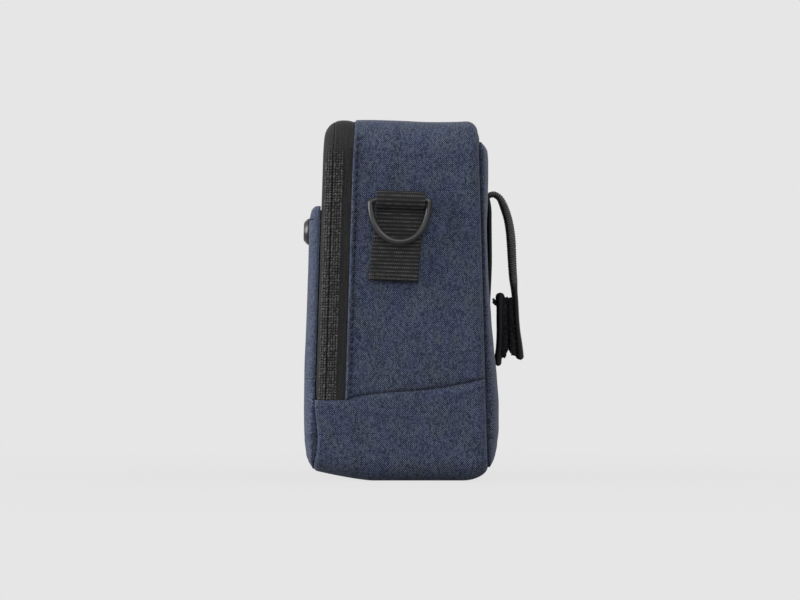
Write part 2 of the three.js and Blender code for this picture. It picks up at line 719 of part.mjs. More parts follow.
function ringGeometry() {
  const path = ringPath();
  const across = new THREE.Vector3(1, 0, 0);
  const rings = path.map(([y, z], i) => {
    const [nextY, nextZ] = path[(i + 1) % path.length];
    const [lastY, lastZ] = path.at(i - 1);
    const outward = new THREE.Vector3(0, lastZ - nextZ, nextY - lastY).normalize();
    const points = arc(0, 0, RING_WIRE / 2, 0, 2 * Math.PI, RING_SIDES).slice(1);
    return points.map(([u, v]) =>
      new THREE.Vector3(0, y, z).addScaledVector(outward, u).addScaledVector(across, v),
    );
  });
  return loft(rings, true);
}

// A folded webbing tab with the ring's bar in its loop, standing off one side of the case.
function ringAndTab(hand, side) {
  const loopRadius = RING_WIRE / 2 + CLEAR + TAB_WEBBING;
  const tabFace = WIDTH / 2 + CLEAR;
  const barX = side * (tabFace + loopRadius);
  const barAt = (radius) => arc(barX, RING_HEIGHT, radius, 0, 2 * Math.PI, 2 * RING_SIDES).slice(1);
  const near = Math.min(side * tabFace, side * (tabFace + 2 * TAB_WEBBING));
  const tail = [
    [near, TAB_FOOT],
    [near + 2 * TAB_WEBBING, TAB_FOOT],
    [near + 2 * TAB_WEBBING, RING_HEIGHT],
    [near, RING_HEIGHT],
  ];
  const from = RING_Y - TAB_WIDTH / 2;
  const to = RING_Y + TAB_WIDTH / 2;
  const barRoom = toSolid(prismY(barAt(loopRadius - TAB_WEBBING), from - CLEAR, to + CLEAR));
  const tab = toSolid(prismY(tail, from, to))
    .add(toSolid(prismY(barAt(loopRadius), from, to)))
    .subtract(barRoom);
  addPiece(tray, "d_ring_tab_" + hand, tab, WEBBING_BLACK);
  const hanger = new THREE.Group();
  hanger.position.set(barX, RING_Y, RING_HEIGHT);
  hanger.rotation.y = -side * THREE.MathUtils.degToRad(RING_LEAN);
  cameraCase.add(hanger);
  addPiece(hanger, "d_ring_" + hand, ringGeometry(), METAL_BLACK);
}

function studPlace() {
  const place = new THREE.Group();
  place.position.set(0, frontAt(STUD_HEIGHT), STUD_HEIGHT);
  place.rotation.x = Math.PI - Math.atan(FRONT_LEAN);
  return place;
}

function turned(profile) {
  return new THREE.LatheGeometry(profile.map(([r, a]) => new THREE.Vector2(r, a)), STUD_SIDES);
}

// A bore along the stud's axis, from inside the lid to outside the pocket.
function studHole(radius) {
  const place = studPlace();
  place.updateMatrix();
  const reach = lidFoamInside + CLEAR;
  const bore = [
    [0, -reach],
    [radius, -reach],
    [radius, reach * 3],
    [0, reach * 3],
  ];
  return toSolid(turned(bore).applyMatrix4(place.matrix));
}

function pressStud() {
  const lidSide = studPlace();
  const flapSide = studPlace();
  lid.add(lidSide);
  pocketFlap.add(flapSide);
  const sheetOuter = proudAt(frontPocketForm, STUD_HEIGHT);
  const sheetInner = sheetOuter - POCKET_SHEET;
  const baseTop = CLEAR + STUD_BASE;
  const headTop = baseTop + STUD_HEAD;
  const plateTop = -FABRIC - 2 * CLEAR;
  const socketFoot = baseTop + CLEAR;
  const socketTop = sheetInner - CLEAR;
  const socketBore = STUD_HEAD_RADIUS + CLEAR;
  const capFoot = sheetOuter + CLEAR;
  const stud = [
    [0, plateTop + CLEAR],
    [STUD_SHANK_RADIUS, plateTop + CLEAR],
    [STUD_SHANK_RADIUS, CLEAR],
    [STUD_BASE_RADIUS, CLEAR],
    [STUD_BASE_RADIUS, baseTop],
    [STUD_HEAD_RADIUS, baseTop],
    [STUD_HEAD_RADIUS, headTop],
    [0, headTop],
  ];
  const plate = [
    [0, plateTop - STUD_PLATE],
    [STUD_PLATE_RADIUS, plateTop - STUD_PLATE],
    [STUD_PLATE_RADIUS, plateTop],
    [0, plateTop],
  ];
  const socket = [
    [socketBore, socketFoot],
    [SOCKET_RADIUS, socketFoot],
    [SOCKET_RADIUS, socketTop],
    [socketBore, socketTop],
    [socketBore, socketFoot],
  ];
  const cap = [
    [0, sheetInner],
    [STUD_SHANK_RADIUS, sheetInner],
    [STUD_SHANK_RADIUS, capFoot],
    [CAP_RADIUS, capFoot],
    [CAP_RADIUS, capFoot + CAP_RIM],
    [CAP_CROWN_RADIUS, capFoot + CAP_HEIGHT],
    [0, capFoot + CAP_HEIGHT],
  ];
  addPiece(lidSide, "snap_stud", turned(stud), METAL_BLACK);
  addPiece(lidSide, "snap_stud_plate", turned(plate), METAL_BLACK);
  addPiece(flapSide, "snap_socket", turned(socket), METAL_BLACK);
  addPiece(flapSide, "snap_cap", turned(cap), METAL_BLACK);
}

function boxSolid(x, y, z) {
  const outline = [
    [y[0], z[0]],
    [y[1], z[0]],
    [y[1], z[1]],
    [y[0], z[1]],
  ];
  return toSolid(prismX(outline, x[0], x[1]));
}

// The slider's own frame: x out of the case from the tape's outer face, z up the zip.
function sliderSolid() {
  const half = SLIDER_LENGTH / 2;
  const plate = [
    [-SLIDER_WAIST / 2, -half],
    [SLIDER_WAIST / 2, -half],
    [SLIDER_WIDTH / 2, half / 2],
    [SLIDER_WAIST / 2, half],
    [-SLIDER_WAIST / 2, half],
    [-SLIDER_WIDTH / 2, half / 2],
  ];
  const plateFoot = CLEAR;
  const plateTop = plateFoot + SLIDER_PLATE;
  const innerTop = tapeDepth - coilInside - CLEAR;
  const neckHalf = ZIP_SLOT / 2 - CLEAR;
  const innerHalf = SLIDER_INNER_WIDTH / 2;
  const neckLength = [-SLIDER_NECK_LENGTH / 2, SLIDER_NECK_LENGTH / 2];
  const crown = boxSolid(
    [plateTop - CLEAR, plateTop + CROWN_HEIGHT],
    [-CROWN_WIDTH / 2, CROWN_WIDTH / 2],
    [-CROWN_LENGTH / 2, CROWN_LENGTH / 2],
  );
  const crownRoom = boxSolid(
    [plateTop, plateTop + CROWN_HEIGHT - CROWN_BAR],
    [-CROWN_WIDTH, CROWN_WIDTH],
    [-CROWN_OPENING / 2, CROWN_OPENING / 2],
  );
  return toSolid(prismX(plate, plateFoot, plateTop))
    .add(boxSolid([innerTop - CLEAR, plateFoot + CLEAR], [-neckHalf, neckHalf], neckLength))
    .add(boxSolid([innerTop - SLIDER_INNER_PLATE, innerTop], [-innerHalf, innerHalf], [-half, half]))
    .add(crown.subtract(crownRoom));
}

// The puller's own frame: the pivot at the origin, hanging down.
function pullerSolid() {
  const bar = PULLER_BAR / 2;
  const eyeHalf = CROWN_WIDTH / 2 + CLEAR;
  const headHalf = PULLER_HEAD_WIDTH / 2;
  const footHalf = PULLER_FOOT_WIDTH / 2;
  const slotHalf = PULLER_SLOT_WIDTH / 2;
  const outline = [
    [-footHalf, -PULLER_LENGTH],
    [footHalf, -PULLER_LENGTH],
    [headHalf, bar],
    [-headHalf, bar],
  ];
  const slotFoot = -PULLER_LENGTH + PULLER_SLOT_WIDTH;
  const thickness = [-2 * PULLER_BAR, 2 * PULLER_BAR];
  return toSolid(prismX(outline, -bar, bar))
    .subtract(boxSolid(thickness, [-eyeHalf, eyeHalf], [-PULLER_EYE_LENGTH, -bar]))
    .subtract(boxSolid(thickness, [-slotHalf, slotHalf], [slotFoot, slotFoot + PULLER_SLOT_LENGTH]));
}

function sliderAndPuller() {
  const slider = new THREE.Group();
  slider.position.set(
    -(WIDTH / 2 - tapeDepth),
    frontAt(SLIDER_HEIGHT) + ZIP_FROM_FRONT,
    SLIDER_HEIGHT,
  );
  slider.rotation.set(-Math.atan(FRONT_LEAN), 0, Math.PI);
  cameraCase.add(slider);
  addPiece(slider, "zip_slider", sliderSolid(), METAL_BLACK);
  const puller = new THREE.Group();
  const crownMiddle = CLEAR + SLIDER_PLATE + (CROWN_HEIGHT - CROWN_BAR) / 2;
  const barRest = -CROWN_OPENING / 2 + PULLER_BAR / 2 + CLEAR;
  puller.position.set(crownMiddle, 0, barRest);
  slider.add(puller);
  addPiece(puller, "zip_puller", pullerSolid(), METAL_BLACK);
}

outerFabric();
padding();
linings();
bindings();
zipHalves();
frontPocket();
backPocket();
beltLoop();
ringAndTab("right", 1);
ringAndTab("left", -1);
pressStud();
sliderAndPuller();

export default cameraCase;
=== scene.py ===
"""The looks of a padded camera case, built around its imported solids. Metres throughout.

X is the width, the zipped lid is at the front (-Y), the belt loop at the back (+Y), and Z is up.
"""

import random
from math import atan, copysign, cos, hypot, pi, radians, sin, sqrt, tau

import bmesh
import bpy
from mathutils import Matrix, Vector, noise


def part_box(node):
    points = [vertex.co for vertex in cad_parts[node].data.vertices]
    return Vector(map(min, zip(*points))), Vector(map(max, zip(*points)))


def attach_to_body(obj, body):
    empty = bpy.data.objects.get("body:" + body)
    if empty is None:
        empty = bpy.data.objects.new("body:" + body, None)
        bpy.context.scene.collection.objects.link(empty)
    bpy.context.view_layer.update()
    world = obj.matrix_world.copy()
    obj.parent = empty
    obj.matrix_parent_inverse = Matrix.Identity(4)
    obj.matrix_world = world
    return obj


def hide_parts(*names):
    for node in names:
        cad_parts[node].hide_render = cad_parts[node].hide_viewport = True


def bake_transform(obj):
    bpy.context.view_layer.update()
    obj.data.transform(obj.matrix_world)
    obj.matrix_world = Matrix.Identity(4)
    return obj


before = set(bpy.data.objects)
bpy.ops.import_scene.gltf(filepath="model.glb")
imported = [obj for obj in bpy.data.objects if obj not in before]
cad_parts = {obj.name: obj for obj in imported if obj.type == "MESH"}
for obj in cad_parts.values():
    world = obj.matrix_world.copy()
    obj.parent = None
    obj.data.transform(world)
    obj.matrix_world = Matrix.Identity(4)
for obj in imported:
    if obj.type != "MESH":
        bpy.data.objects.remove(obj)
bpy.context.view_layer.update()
random.seed(11)
ACROSS = Vector((1, 0, 0))

# Camera, in line with the photograph
CAMERA_DISTANCE = 2.545
CAMERA_HEIGHT = 0.075
CAMERA_Y = -0.0005
CAMERA_LENS = 270
CAMERA_SENSOR = 36
BACKDROP_GREY = (0.791, 0.791, 0.791, 1)

# Outer form of the case
HALF_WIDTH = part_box("boot")[1].x
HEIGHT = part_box("side_top_gusset")[1].z
HALF_DEPTH = 0.0369
FRONT_LEAN = 0.031
BACK_LEAN = 0.0276
FRONT_LIFT = 0.0044
FLAT_BASE_FRONT = -0.012
TOP_CORNER = 0.015
BASE_CORNER = 0.008
TOP_SHARES = (0.27, 0.42)
BASE_SHARES = (0.56, 0.70)
CLOTH_THICKNESS = {"shell_fabric": 0.0009, "lining": 0.0006, "tape": 0.0006}

# The cloth's soft unevenness, as (size of a hump, its height, seed), and how finely lines are followed
RIPPLES = ((0.045, 0.00045, 0), (0.014, 0.00012, 5))
HOOP_STEPS = 450
CURVE_STEPS = 40

# Zip
RIM_LINE = 0.0126
INNER_RIM = 0.0162
TAPE_UNDER = 0.0030
TAPE_DEPTH = 0.0010
TAPE_TOP_DEPTH = 0.0002
TAPE_FRONT = 0.0003
TAPE_ROUNDS = (0.0040, 0.0076)
TAPE_FOOT = 0.0315
GROOVE_RUN = 0.0112
ZIP_GAP = 0.00012
TAPE_END_RUN = 0.0200
KNIT_PITCH = 0.00108
KNIT_SLANT = 0.6
KNIT_JITTER = 0.45
BODY_KNIT_ROWS = (-0.0009, -0.0019, -0.0029, -0.0040)
LID_KNIT_ROWS = (0.0009, 0.0019, 0.0029)
TOOTH_PITCH = 0.00125
TOOTH_DEPTH = 0.0013
TOOTH_LINE = 0.0011
PIPING_LINE = 0.0043
PIPING_DEPTH = 0.0066
PIPING_RADIUS = 0.0016
LID_PANEL_MARGIN = 0.0068
FOLD_HEIGHT = 0.036
STITCH_LINE = 0.0021
HEM_PITCH = 0.0030
TOP_CLOTH_RUN = 0.054
HEM_RISE = 0.0005
HEM_DITCH = 0.00065
TOP_SAG = 0.0009

# Boot and seams
BOOT_FRONT_HEIGHT = 0.0335
BOOT_BACK_HEIGHT = 0.0424
BOOT_KNEE = -0.023
SEAM_WAVE = 0.0008
FRONT_SEAM_CURVE = 0.0017
BACK_SEAM = 0.0009
SEAM_DIPS = (0.0008, 0.0010)
SEAM_REACH = 0.0022

# Lining
LINING_DEPTH = 0.0062
LID_LINING_DEPTH = 0.0052
LID_LINING_MARGIN = 0.0075
LINING_RIM = 0.0290

# Pockets. A stand is (height, distance off the case) in millimetres. PILLOW_SHARES are where a slice's
# flat and its round end.
FRONT_POCKET_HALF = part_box("front_pocket_base")[1].x
FRONT_POCKET_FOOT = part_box("front_pocket_base")[0].z - 0.0009
FRONT_POCKET_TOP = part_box("front_pocket_panel")[1].z
FRONT_POCKET_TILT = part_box("front_pocket_panel")[0].z
POCKET_OPENING = sin(radians(12))
BACK_POCKET_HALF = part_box("back_pocket_panel")[1].x
BACK_POCKET_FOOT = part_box("back_pocket_panel")[0].z - 0.0012
BACK_POCKET_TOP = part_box("back_pocket_panel")[1].z
PILLOW_ROUND = 0.016
PILLOW_SHARES = (0.55, 0.93)
FRONT_POCKET_ROUND = 0.0042
BACK_POCKET_ROUND = 0.0036
SIDE_DRAW = (0.0002, 0.0018)
MOUTH_STITCHES = 47
SEWN_INSET = 0.0011
SEWN_TUCK = 0.0006
POCKET_PINCH = 0.0010
STRAP_BED = 0.0010
FRONT_POCKET_STAND = [
    (4.9, 0.1), (5.4, 0.5), (6.7, 1.4), (7.9, 2.1), (10.4, 3.0), (16.7, 3.8), (24, 4.2), (30, 4.4),
    (50, 4.8), (70, 4.7), (106, 4.9), (109.6, 4.5), (112, 4.0), (113.4, 3.3), (114, 2.4)
]
BACK_POCKET_STAND = [
    (5.6, 0.3), (6.8, 1.1), (8.5, 2.1), (11, 2.9), (14, 3.6), (21, 4.5), (32, 4.6), (43, 4.1), (55, 3.2),
    (66, 2.5), (85, 1.8), (105, 1.7), (118, 2.6), (127, 3.0), (133, 3.1), (136.9, 2.9), (138.8, 2.2),
    (140, 1.2), (140.8, 0.2)
]

# Webbing. Routes are (y, z) in millimetres at the case's right side. The belt loop lies in the middle,
# further from the camera, so its routes are drawn larger by BELT_SCALE. Thicknesses are by height. A
# ring's halves above and below its corners have powers that square them, along y and z, and a reach.
STRAP_WIDTH = 0.030
BELT_SCALE = 1.018
# Height above which the belt strap's edges carry painted light instead of painted shade
BELT_LIT_FROM = 0.0785
PAD_WIDTH = 0.028
RIB_PITCH = 0.00095
BEAD_PITCH = 0.0009
TAB_RIB = 0.00158
ROUTE_STEP = 0.0003
TUFTS = 420
FRAYS = 160
UPPER_LEAF = [
    (35.9, 118.3), (37.4, 118.8), (38.9, 118.9), (41.1, 117.3), (42.8, 113.8), (44.4, 109.0),
    (45.3, 104.2), (45.8, 99.2), (46.4, 87.5), (47.1, 79.2), (47.5, 74.2), (47.9, 66.7), (48.5, 60.4),
    (49.2, 54.0), (49.5, 49.9)
]
LOWER_LEAF = [(40.1, 47.6), (40.5, 52.5), (41.0, 60), (41.0, 68), (41.1, 74), (41.3, 78.3)]
UPPER_THICKNESS = [
    (49, 3.2), (56, 2.9), (62, 2.4), (78, 2.4), (84, 3.2), (100, 3.6), (114, 3.2), (120, 2.3)
]
LOWER_THICKNESS = [(47, 3.0), (51, 2.9), (54, 2.4), (71, 2.5), (76, 3.6), (79, 3.6)]
LOOP_PAD = [(45.6, 75.6), (45.5, 72), (45.7, 68), (46.0, 62), (46.5, 55.5), (47.4, 51.8)]
HOOK_PAD = [(42.6, 75.8), (42.9, 72), (42.9, 66), (42.9, 60), (42.8, 55.5), (42.2, 51.3)]
PAD_THICKNESS = [(51, 2.3), (54.5, 3.4), (60, 3.4), (70, 3.0), (75, 2.9), (77, 2.4)]
STRAP_FACE = [
    (50, 38.2), (60, 37.6), (75, 37.7), (84, 38.2), (92, 38.4), (105, 38.3), (113, 38.2), (118, 37.7),
    (120, 36.9)
]
STRAP_ENDS = (0.1192, 0.0515)
TAB_WIDTH = 0.0204
TAB_FOOT = 0.0828
TAB_INNER = 0.0609
TAB_OUTER = 0.0621
FLAT_THICKNESS = 0.0019
BAR_X = 0.06315
RING_Y = -0.0006
RING_HEIGHT = 0.1167
RING_WIDTH = 0.0266
RING_WIRE = 0.0026
RING_DROP = 0.0177
RING_CORNER = 0.0018
RING_ABOVE = (0.35, 0.8, RING_CORNER)
RING_BELOW = (0.93, 0.96, RING_CORNER - RING_DROP)
RING_LEAN = 8
RING_STEPS = 96

# Press stud: (radius, height) in millimetres, the cap and socket off the pocket's face
STUD_HEIGHT = 0.1038
STUD_CAP = [
    (0, -1.0), (0.9, -1.0), (0.9, 0.1), (5.2, 0.1), (5.6, 0.35), (5.6, 0.8), (5.3, 1.3), (4.7, 1.85),
    (4.1, 2.45), (3.7, 2.7), (3.3, 2.75), (2.9, 2.6), (0, 2.5)
]
STUD_SOCKET = [(2.3, -3.3), (3.8, -3.3), (4.0, -3.1), (4.0, -1.4), (2.3, -1.4), (2.3, -3.3)]
STUD_POST = [
    (0, -1.2), (0.9, -1.2), (0.9, 0.3), (4.8, 0.3), (5.0, 0.5), (4.9, 0.8), (2.0, 1.0), (1.75, 1.6),
    (2.0, 2.4), (1.7, 2.8), (0, 2.9)
]
STUD_PLATE = [(0, -2.5), (4.2, -2.5), (4.5, -2.3), (4.5, -1.7), (4.3, -1.5), (0, -1.5)]
HARDWARE_EDGE = 0.0003

# Light
LAMPS = (
    ("key", (0.35, -2.05, 0.65), 1.2, 68),
    ("side", (1.7, 0.1, 1.1), 1.0, 16),
    ("top", (0.5, 1.2, 1.7), 1.0, 18),
    ("rim", (-1.6, 0.6, 0.9), 1.2, 12),
)
LAMP_AIM = (0, 0, 0.07)
WORLD_TINT = (0.93, 0.96, 1)
WORLD_LIGHT = 0.36
FLOOR_SIZE = 6
FLOOR_DROP = 0.0002
FLOOR_PAINT = (0.35, 0.35, 0.35)
FLOOR_GLOW = 0.93
SHADE_REACH = 0.5


def front_at(z):
    return -HALF_DEPTH + FRONT_LEAN * z


def back_at(z):
    return HALF_DEPTH - BACK_LEAN * z


def ease(value):
    """0 below 0, 1 above 1, and a smooth rise between."""
    value = min(max(value, 0.0), 1.0)
    return value * value * (3 - 2 * value)


def swell(value):
    """A smooth hump: 1 at 0, and 0 from 1 outwards."""
    return cos(pi / 2 * value) ** 2 if abs(value) < 1 else 0.0


def mix(ends, share):
    return ends[0] + (ends[1] - ends[0]) * share


def squared(value, power):
    """A sine or cosine to a power with its sign kept, for rounds that are nearly square."""
    return copysign(abs(value) ** power, value)


def boot_height(y):
    """Height of the boot's upper seam."""
    climb = min(max(y - BOOT_KNEE, 0) / (back_at(BOOT_BACK_HEIGHT) - BOOT_KNEE), 1.0)
    wave = SEAM_WAVE * sin(tau * climb**0.75)
    return BOOT_FRONT_HEIGHT + (BOOT_BACK_HEIGHT - BOOT_FRONT_HEIGHT) * climb + wave


def front_seam(front):
    """How far the boot's front seam lies behind the front plane, where that plane is at front."""
    z = (front + HALF_DEPTH) / FRONT_LEAN
    return FRONT_SEAM_CURVE * swell((z - 0.0165) / 0.0175)


def base_at(y):
    """Height of the base, flat at the back and rising to the front."""
    reach = front_at(0) - FLAT_BASE_FRONT
    return FRONT_LIFT * max((y - FLAT_BASE_FRONT) / reach, 0) ** 1.35


def ripple(point, size, seed):
    """Smooth noise from about -1 to 1, one hump to each size."""
    return noise.noise(Vector(point) / size + Vector((seed, 3.1 * seed, 7.7 * seed)))


# Shader nodes
class Value:
    """A node socket that arithmetic can be written on."""

    def __init__(self, maker, socket):
        self.maker = maker
        self.socket = socket

    def math(self, operation, *others):
        return self.maker.node("ShaderNodeMath", {"operation": operation}, [self, *others])

    def clamped(self):
        return self.math("MAXIMUM", 0.0).math("MINIMUM", 1.0)

    def wave(self):
        """A sine of the value, with one turn to each unit, between 0 and 1."""
        return (self * tau).math("SINE") * 0.5 + 0.5

    def beside(self, output):
        """Another output of the same node."""
        return Value(self.maker, self.socket.node.outputs[output])

    def __add__(self, other):
        return self.math("ADD", other)

    def __sub__(self, other):
        return self.math("SUBTRACT", other)

    def __mul__(self, other):
        return self.math("MULTIPLY", other)

    def __rsub__(self, other):
        return self.maker.node("ShaderNodeMath", {"operation": "SUBTRACT"}, [other, self])

    __radd__ = __add__
    __rmul__ = __mul__


def set_stops(elements, stops):
    """A colour ramp's stops, each a place on the ramp and a colour."""
    while len(elements) < len(stops):
        elements.new(0.5)
    for element, (position, colour) in zip(elements, stops):
        element.position = position
        element.color = (*colour, 1)


class Nodes:
    """A node tree and the making of its nodes."""

    def __init__(self, tree):
        self.tree = tree

    def node(self, kind, settings=None, inputs=None, output=0):
        """A node with its settings, and the values or links of its sockets."""
        made = self.tree.nodes.new(kind)
        for key, value in (settings or {}).items():
            if key == "stops":
                set_stops(made.color_ramp.elements, value)
            else:
                setattr(made, key, value)
        pairs = inputs.items() if isinstance(inputs, dict) else enumerate(inputs or [])
        for key, value in pairs:
            if isinstance(value, Value):
                self.tree.links.new(value.socket, made.inputs[key])
            else:
                made.inputs[key].default_value = value
        return Value(self, made.outputs[output])

    def seen_ray(self):
        """1 for what the camera sees straight or in a reflection, otherwise 0."""
        straight = self.node("ShaderNodeLightPath", output="Is Camera Ray")
        return straight.math("MAXIMUM", straight.beside("Is Glossy Ray"))

    def choose_by(self, share, lit, seen, output):
        """Mixes the surface that is lit with the one that is seen, into the tree's output."""
        choose = self.node("ShaderNodeMixShader", None, [share, Value(self, lit.outputs[0]), seen])
        self.tree.links.new(choose.socket, self.tree.nodes[output].inputs[0])


class Finish(Nodes):
    """A material and the nodes of its pattern."""

    def __init__(self, name):
        self.material = bpy.data.materials.new(name)
        self.material.use_nodes = True
        super().__init__(self.material.node_tree)
        self.shader = self.tree.nodes["Principled BSDF"]

    def ramp(self, value, stops):
        return self.node("ShaderNodeValToRGB", {"stops": stops}, [value])

    def mix(self, factor, one, other):
        colours = {0: factor, 6: one, 7: other}
        return self.node("ShaderNodeMix", {"data_type": "RGBA"}, colours, output=2)

    def noise(self, vector, scale, detail=2.0, roughness=0.5):
        inputs = {"Vector": vector, "Scale": scale, "Detail": detail, "Roughness": roughness}
        return self.node("ShaderNodeTexNoise", None, inputs)

    def mottle(self, along, across):
        """Noise on the cloth, with so many humps to each unit of its map."""
        return self.noise(self.place("cloth", (along, across, 1)), 1.0, 2.0)

    def place(self, source="Object", stretch=(1, 1, 1)):
        """Where a point lies on the object, or on a piece's own cloth."""
        if source == "Object":
            at = self.node("ShaderNodeTexCoord", output="Object")
        else:
            at = self.node("ShaderNodeUVMap", {"uv_map": source})
        return self.node("ShaderNodeMapping", None, {"Vector": at, "Scale": stretch})

    def join(self, *parts):
        return self.node("ShaderNodeCombineXYZ", None, parts)

    def split(self, vector):
        first = self.node("ShaderNodeSeparateXYZ", None, [vector])
        return [first.beside(i) for i in range(3)]

    def set(self, **sockets):
        """Constants or links for the shader's own sockets."""
        for name, value in sockets.items():
            socket = self.shader.inputs[name.replace("_", " ")]
            if isinstance(value, Value):
                self.tree.links.new(value.socket, socket)
            else:
                socket.default_value = value

    def paint(self, colour, roughness, specular):
        self.set(Base_Color=colour, Roughness=roughness, Specular_IOR_Level=specular)

    def bump(self, height, distance, strength):
        inputs = {"Height": height, "Distance": distance, "Strength": strength}
        self.set(Normal=self.node("ShaderNodeBump", None, inputs))


# Widths of threads and ribs in metres, and how fast a shell thread's tone changes along it
THREAD = 0.00043
THREAD_RUN = 0.32
TAPE_THREADS = (0.0005, 0.0006)
CLOTH_BLUE = [
    (0.10, (0.003, 0.0045, 0.012)), (0.40, (0.0125, 0.0165, 0.038)), (0.55, (0.026, 0.033, 0.069)),
    (0.75, (0.055, 0.069, 0.133)), (1.0, (0.115, 0.138, 0.215)),
]
CLOTH_GREY = [
    (0.10, (0.004, 0.006, 0.011)), (0.40, (0.0140, 0.0185, 0.033)), (0.55, (0.028, 0.037, 0.060)),
    (0.75, (0.060, 0.077, 0.119)), (1.0, (0.125, 0.15, 0.195)),
]
WEBBING_BLACK = [
    (0.12, (0.004, 0.004, 0.005)), (0.50, (0.016, 0.016, 0.017)), (0.85, (0.120, 0.113, 0.108)),
]


def shell_cloth():
    """Navy and grey-blue melange: a plain weave of light and dark threads that change tone on their way."""
    finish = Finish("shell_cloth")
    along, across, _ = finish.split(finish.place("cloth", stretch=(1 / THREAD, 1 / THREAD, 1)))
    warp, weft = along.math("FLOOR"), across.math("FLOOR")
    weft_over = ((warp + weft) * 0.5).math("FRACT") * 2
    warp_tone = finish.noise(finish.join(warp * 1.73, across * THREAD_RUN, 0.3), 1.0, 3.0, 0.75)
    weft_tone = finish.noise(finish.join(along * THREAD_RUN, weft * 1.73, 7.3), 1.0, 3.0, 0.75)
    thread = (warp_tone * 0.85 + 0.12) * (1 - weft_over) + (weft_tone * 1.25 - 0.17) * weft_over
    crests = [(way * pi).math("SINE").math("ABSOLUTE") for way in (along, across)]
    hump = crests[0] * crests[1]
    patches = finish.noise(finish.place("cloth"), 150.0, 3.0)
    hue = finish.noise(finish.place("cloth", stretch=(1, 1.4, 1)), 90.0, 2.0)
    # hump lightens the threads' crests in the colour as well as the bump: painted shade in the gaps of the
    # weave.
    tone = (thread - 0.5) * 1.6 + weft_over - 0.285 + patches * 0.20 + hump * 0.12
    blue = finish.ramp(tone, CLOTH_BLUE)
    grey = finish.ramp(tone, CLOTH_GREY)
    colour = finish.mix(finish.ramp(hue, [(0.35, (0, 0, 0)), (0.65, (1, 1, 1))]), blue, grey)
    finish.paint(colour, 0.92, 0.2)
    finish.set(Sheen_Weight=0.05, Sheen_Roughness=0.5)
    finish.bump(hump, 0.00012, 0.35)
    return finish.material


def lining_cloth():
    finish = Finish("lining_cloth")
    along, across, _ = finish.split(finish.place("cloth"))
    weave = (along * (pi / THREAD)).math("SINE") * (across * (pi / THREAD)).math("SINE")
    tone = finish.mottle(900, 900)
    colour = finish.ramp(tone, [(0.3, (0.060, 0.064, 0.071)), (0.7, (0.098, 0.103, 0.113))])
    finish.paint(colour, 0.85, 0.3)
    finish.bump(weave * 0.5 + tone, 0.00012, 0.4)
    return finish.material


def zip_tape_cloth():
    """Black woven tape: fine ribs along the tape."""
    finish = Finish("zip_tape_cloth")
    along, across, _ = finish.split(finish.place("cloth"))
    picks, ribs = [(way * (1 / size)).wave() for way, size in zip((along, across), TAPE_THREADS)]
    speckle = finish.mottle(1500, 1500)
    streaks = finish.mottle(90, 1700)
    tone = ribs * 0.2 + picks * 0.1 + (speckle - 0.5) * 1.2 + (streaks - 0.5) * 0.9 + 0.42
    colour = finish.ramp(tone, [(0.25, (0.004, 0.004, 0.0045)), (0.80, (0.0245, 0.0245, 0.0255))])
    finish.paint(colour, 0.85, 0.2)
    finish.bump(tone, 0.0002, 0.5)
    return finish.material


def speckled(name, scale, detail, stops, roughness, specular, bump=None):
    """A plain finish between two colours, finely mottled. A bump is a distance and a strength."""
    finish = Finish(name)
    tone = finish.noise(finish.place(), scale, detail)
    finish.paint(finish.ramp(tone, stops), roughness, specular)
    if bump:
        finish.bump(tone, *bump)
    return finish.material


def webbing_yarn(name, lit_above=None):
    """Black webbing, in ribs along the strap and beads across it.

    Given a height, the belt strap's edges carry painted shade below it and painted light above it.
    """
    finish = Finish(name)
    ribs, beads, _ = finish.split(finish.place("cloth"))
    crest = ribs.wave()
    rib = (ribs + 0.25).math("FLOOR")
    shuffled = (rib * 12.9898).math("SINE") * 43.7
    bead = (beads + shuffled).wave()
    worn = finish.noise(finish.join(rib * 3.1, beads * 0.22, 0.0), 1.0, 2.0)
    fibres = finish.mottle(9, 2)
    tone = crest.math("POWER", 1.5) * (bead * 0.4 + 0.6) * (worn * 0.8 + 0.20) + fibres * 0.22
    # Painted light and shade: the strap's edges are lightened above the height and darkened below it.
    if lit_above:
        across, _, height = finish.split(finish.place())
        painted_light = ((height - lit_above) * 250).clamped()
        edge = ((across.math("ABSOLUTE") - STRAP_WIDTH / 2) * 1500 + 2).clamped()
        tone = tone * (1 - edge) + (tone * (painted_light * 0.5 + 0.35) + painted_light * 0.3) * edge
    finish.paint(finish.ramp(tone, WEBBING_BLACK), 0.7, 0.2)
    finish.bump(tone, 0.0003, 0.7)
    return finish.material


def black_metal():
    """Satin black coating, worn a little smoother in patches."""
    finish = Finish("black_metal")
    wear = finish.noise(finish.place(), 180.0, 4.0, 0.6)
    grain = finish.noise(finish.place(), 5200.0, 1.0)
    colour = finish.ramp(wear, [(0.35, (0.007, 0.007, 0.008)), (0.7, (0.013, 0.013, 0.014))])
    finish.set(Base_Color=colour, Metallic=0.0, Specular_IOR_Level=0.38)
    finish.set(Roughness=finish.ramp(wear, [(0.3, (0.30,) * 3), (0.7, (0.42,) * 3)]))
    finish.bump(grain, 0.00003, 0.25)
    return finish.material


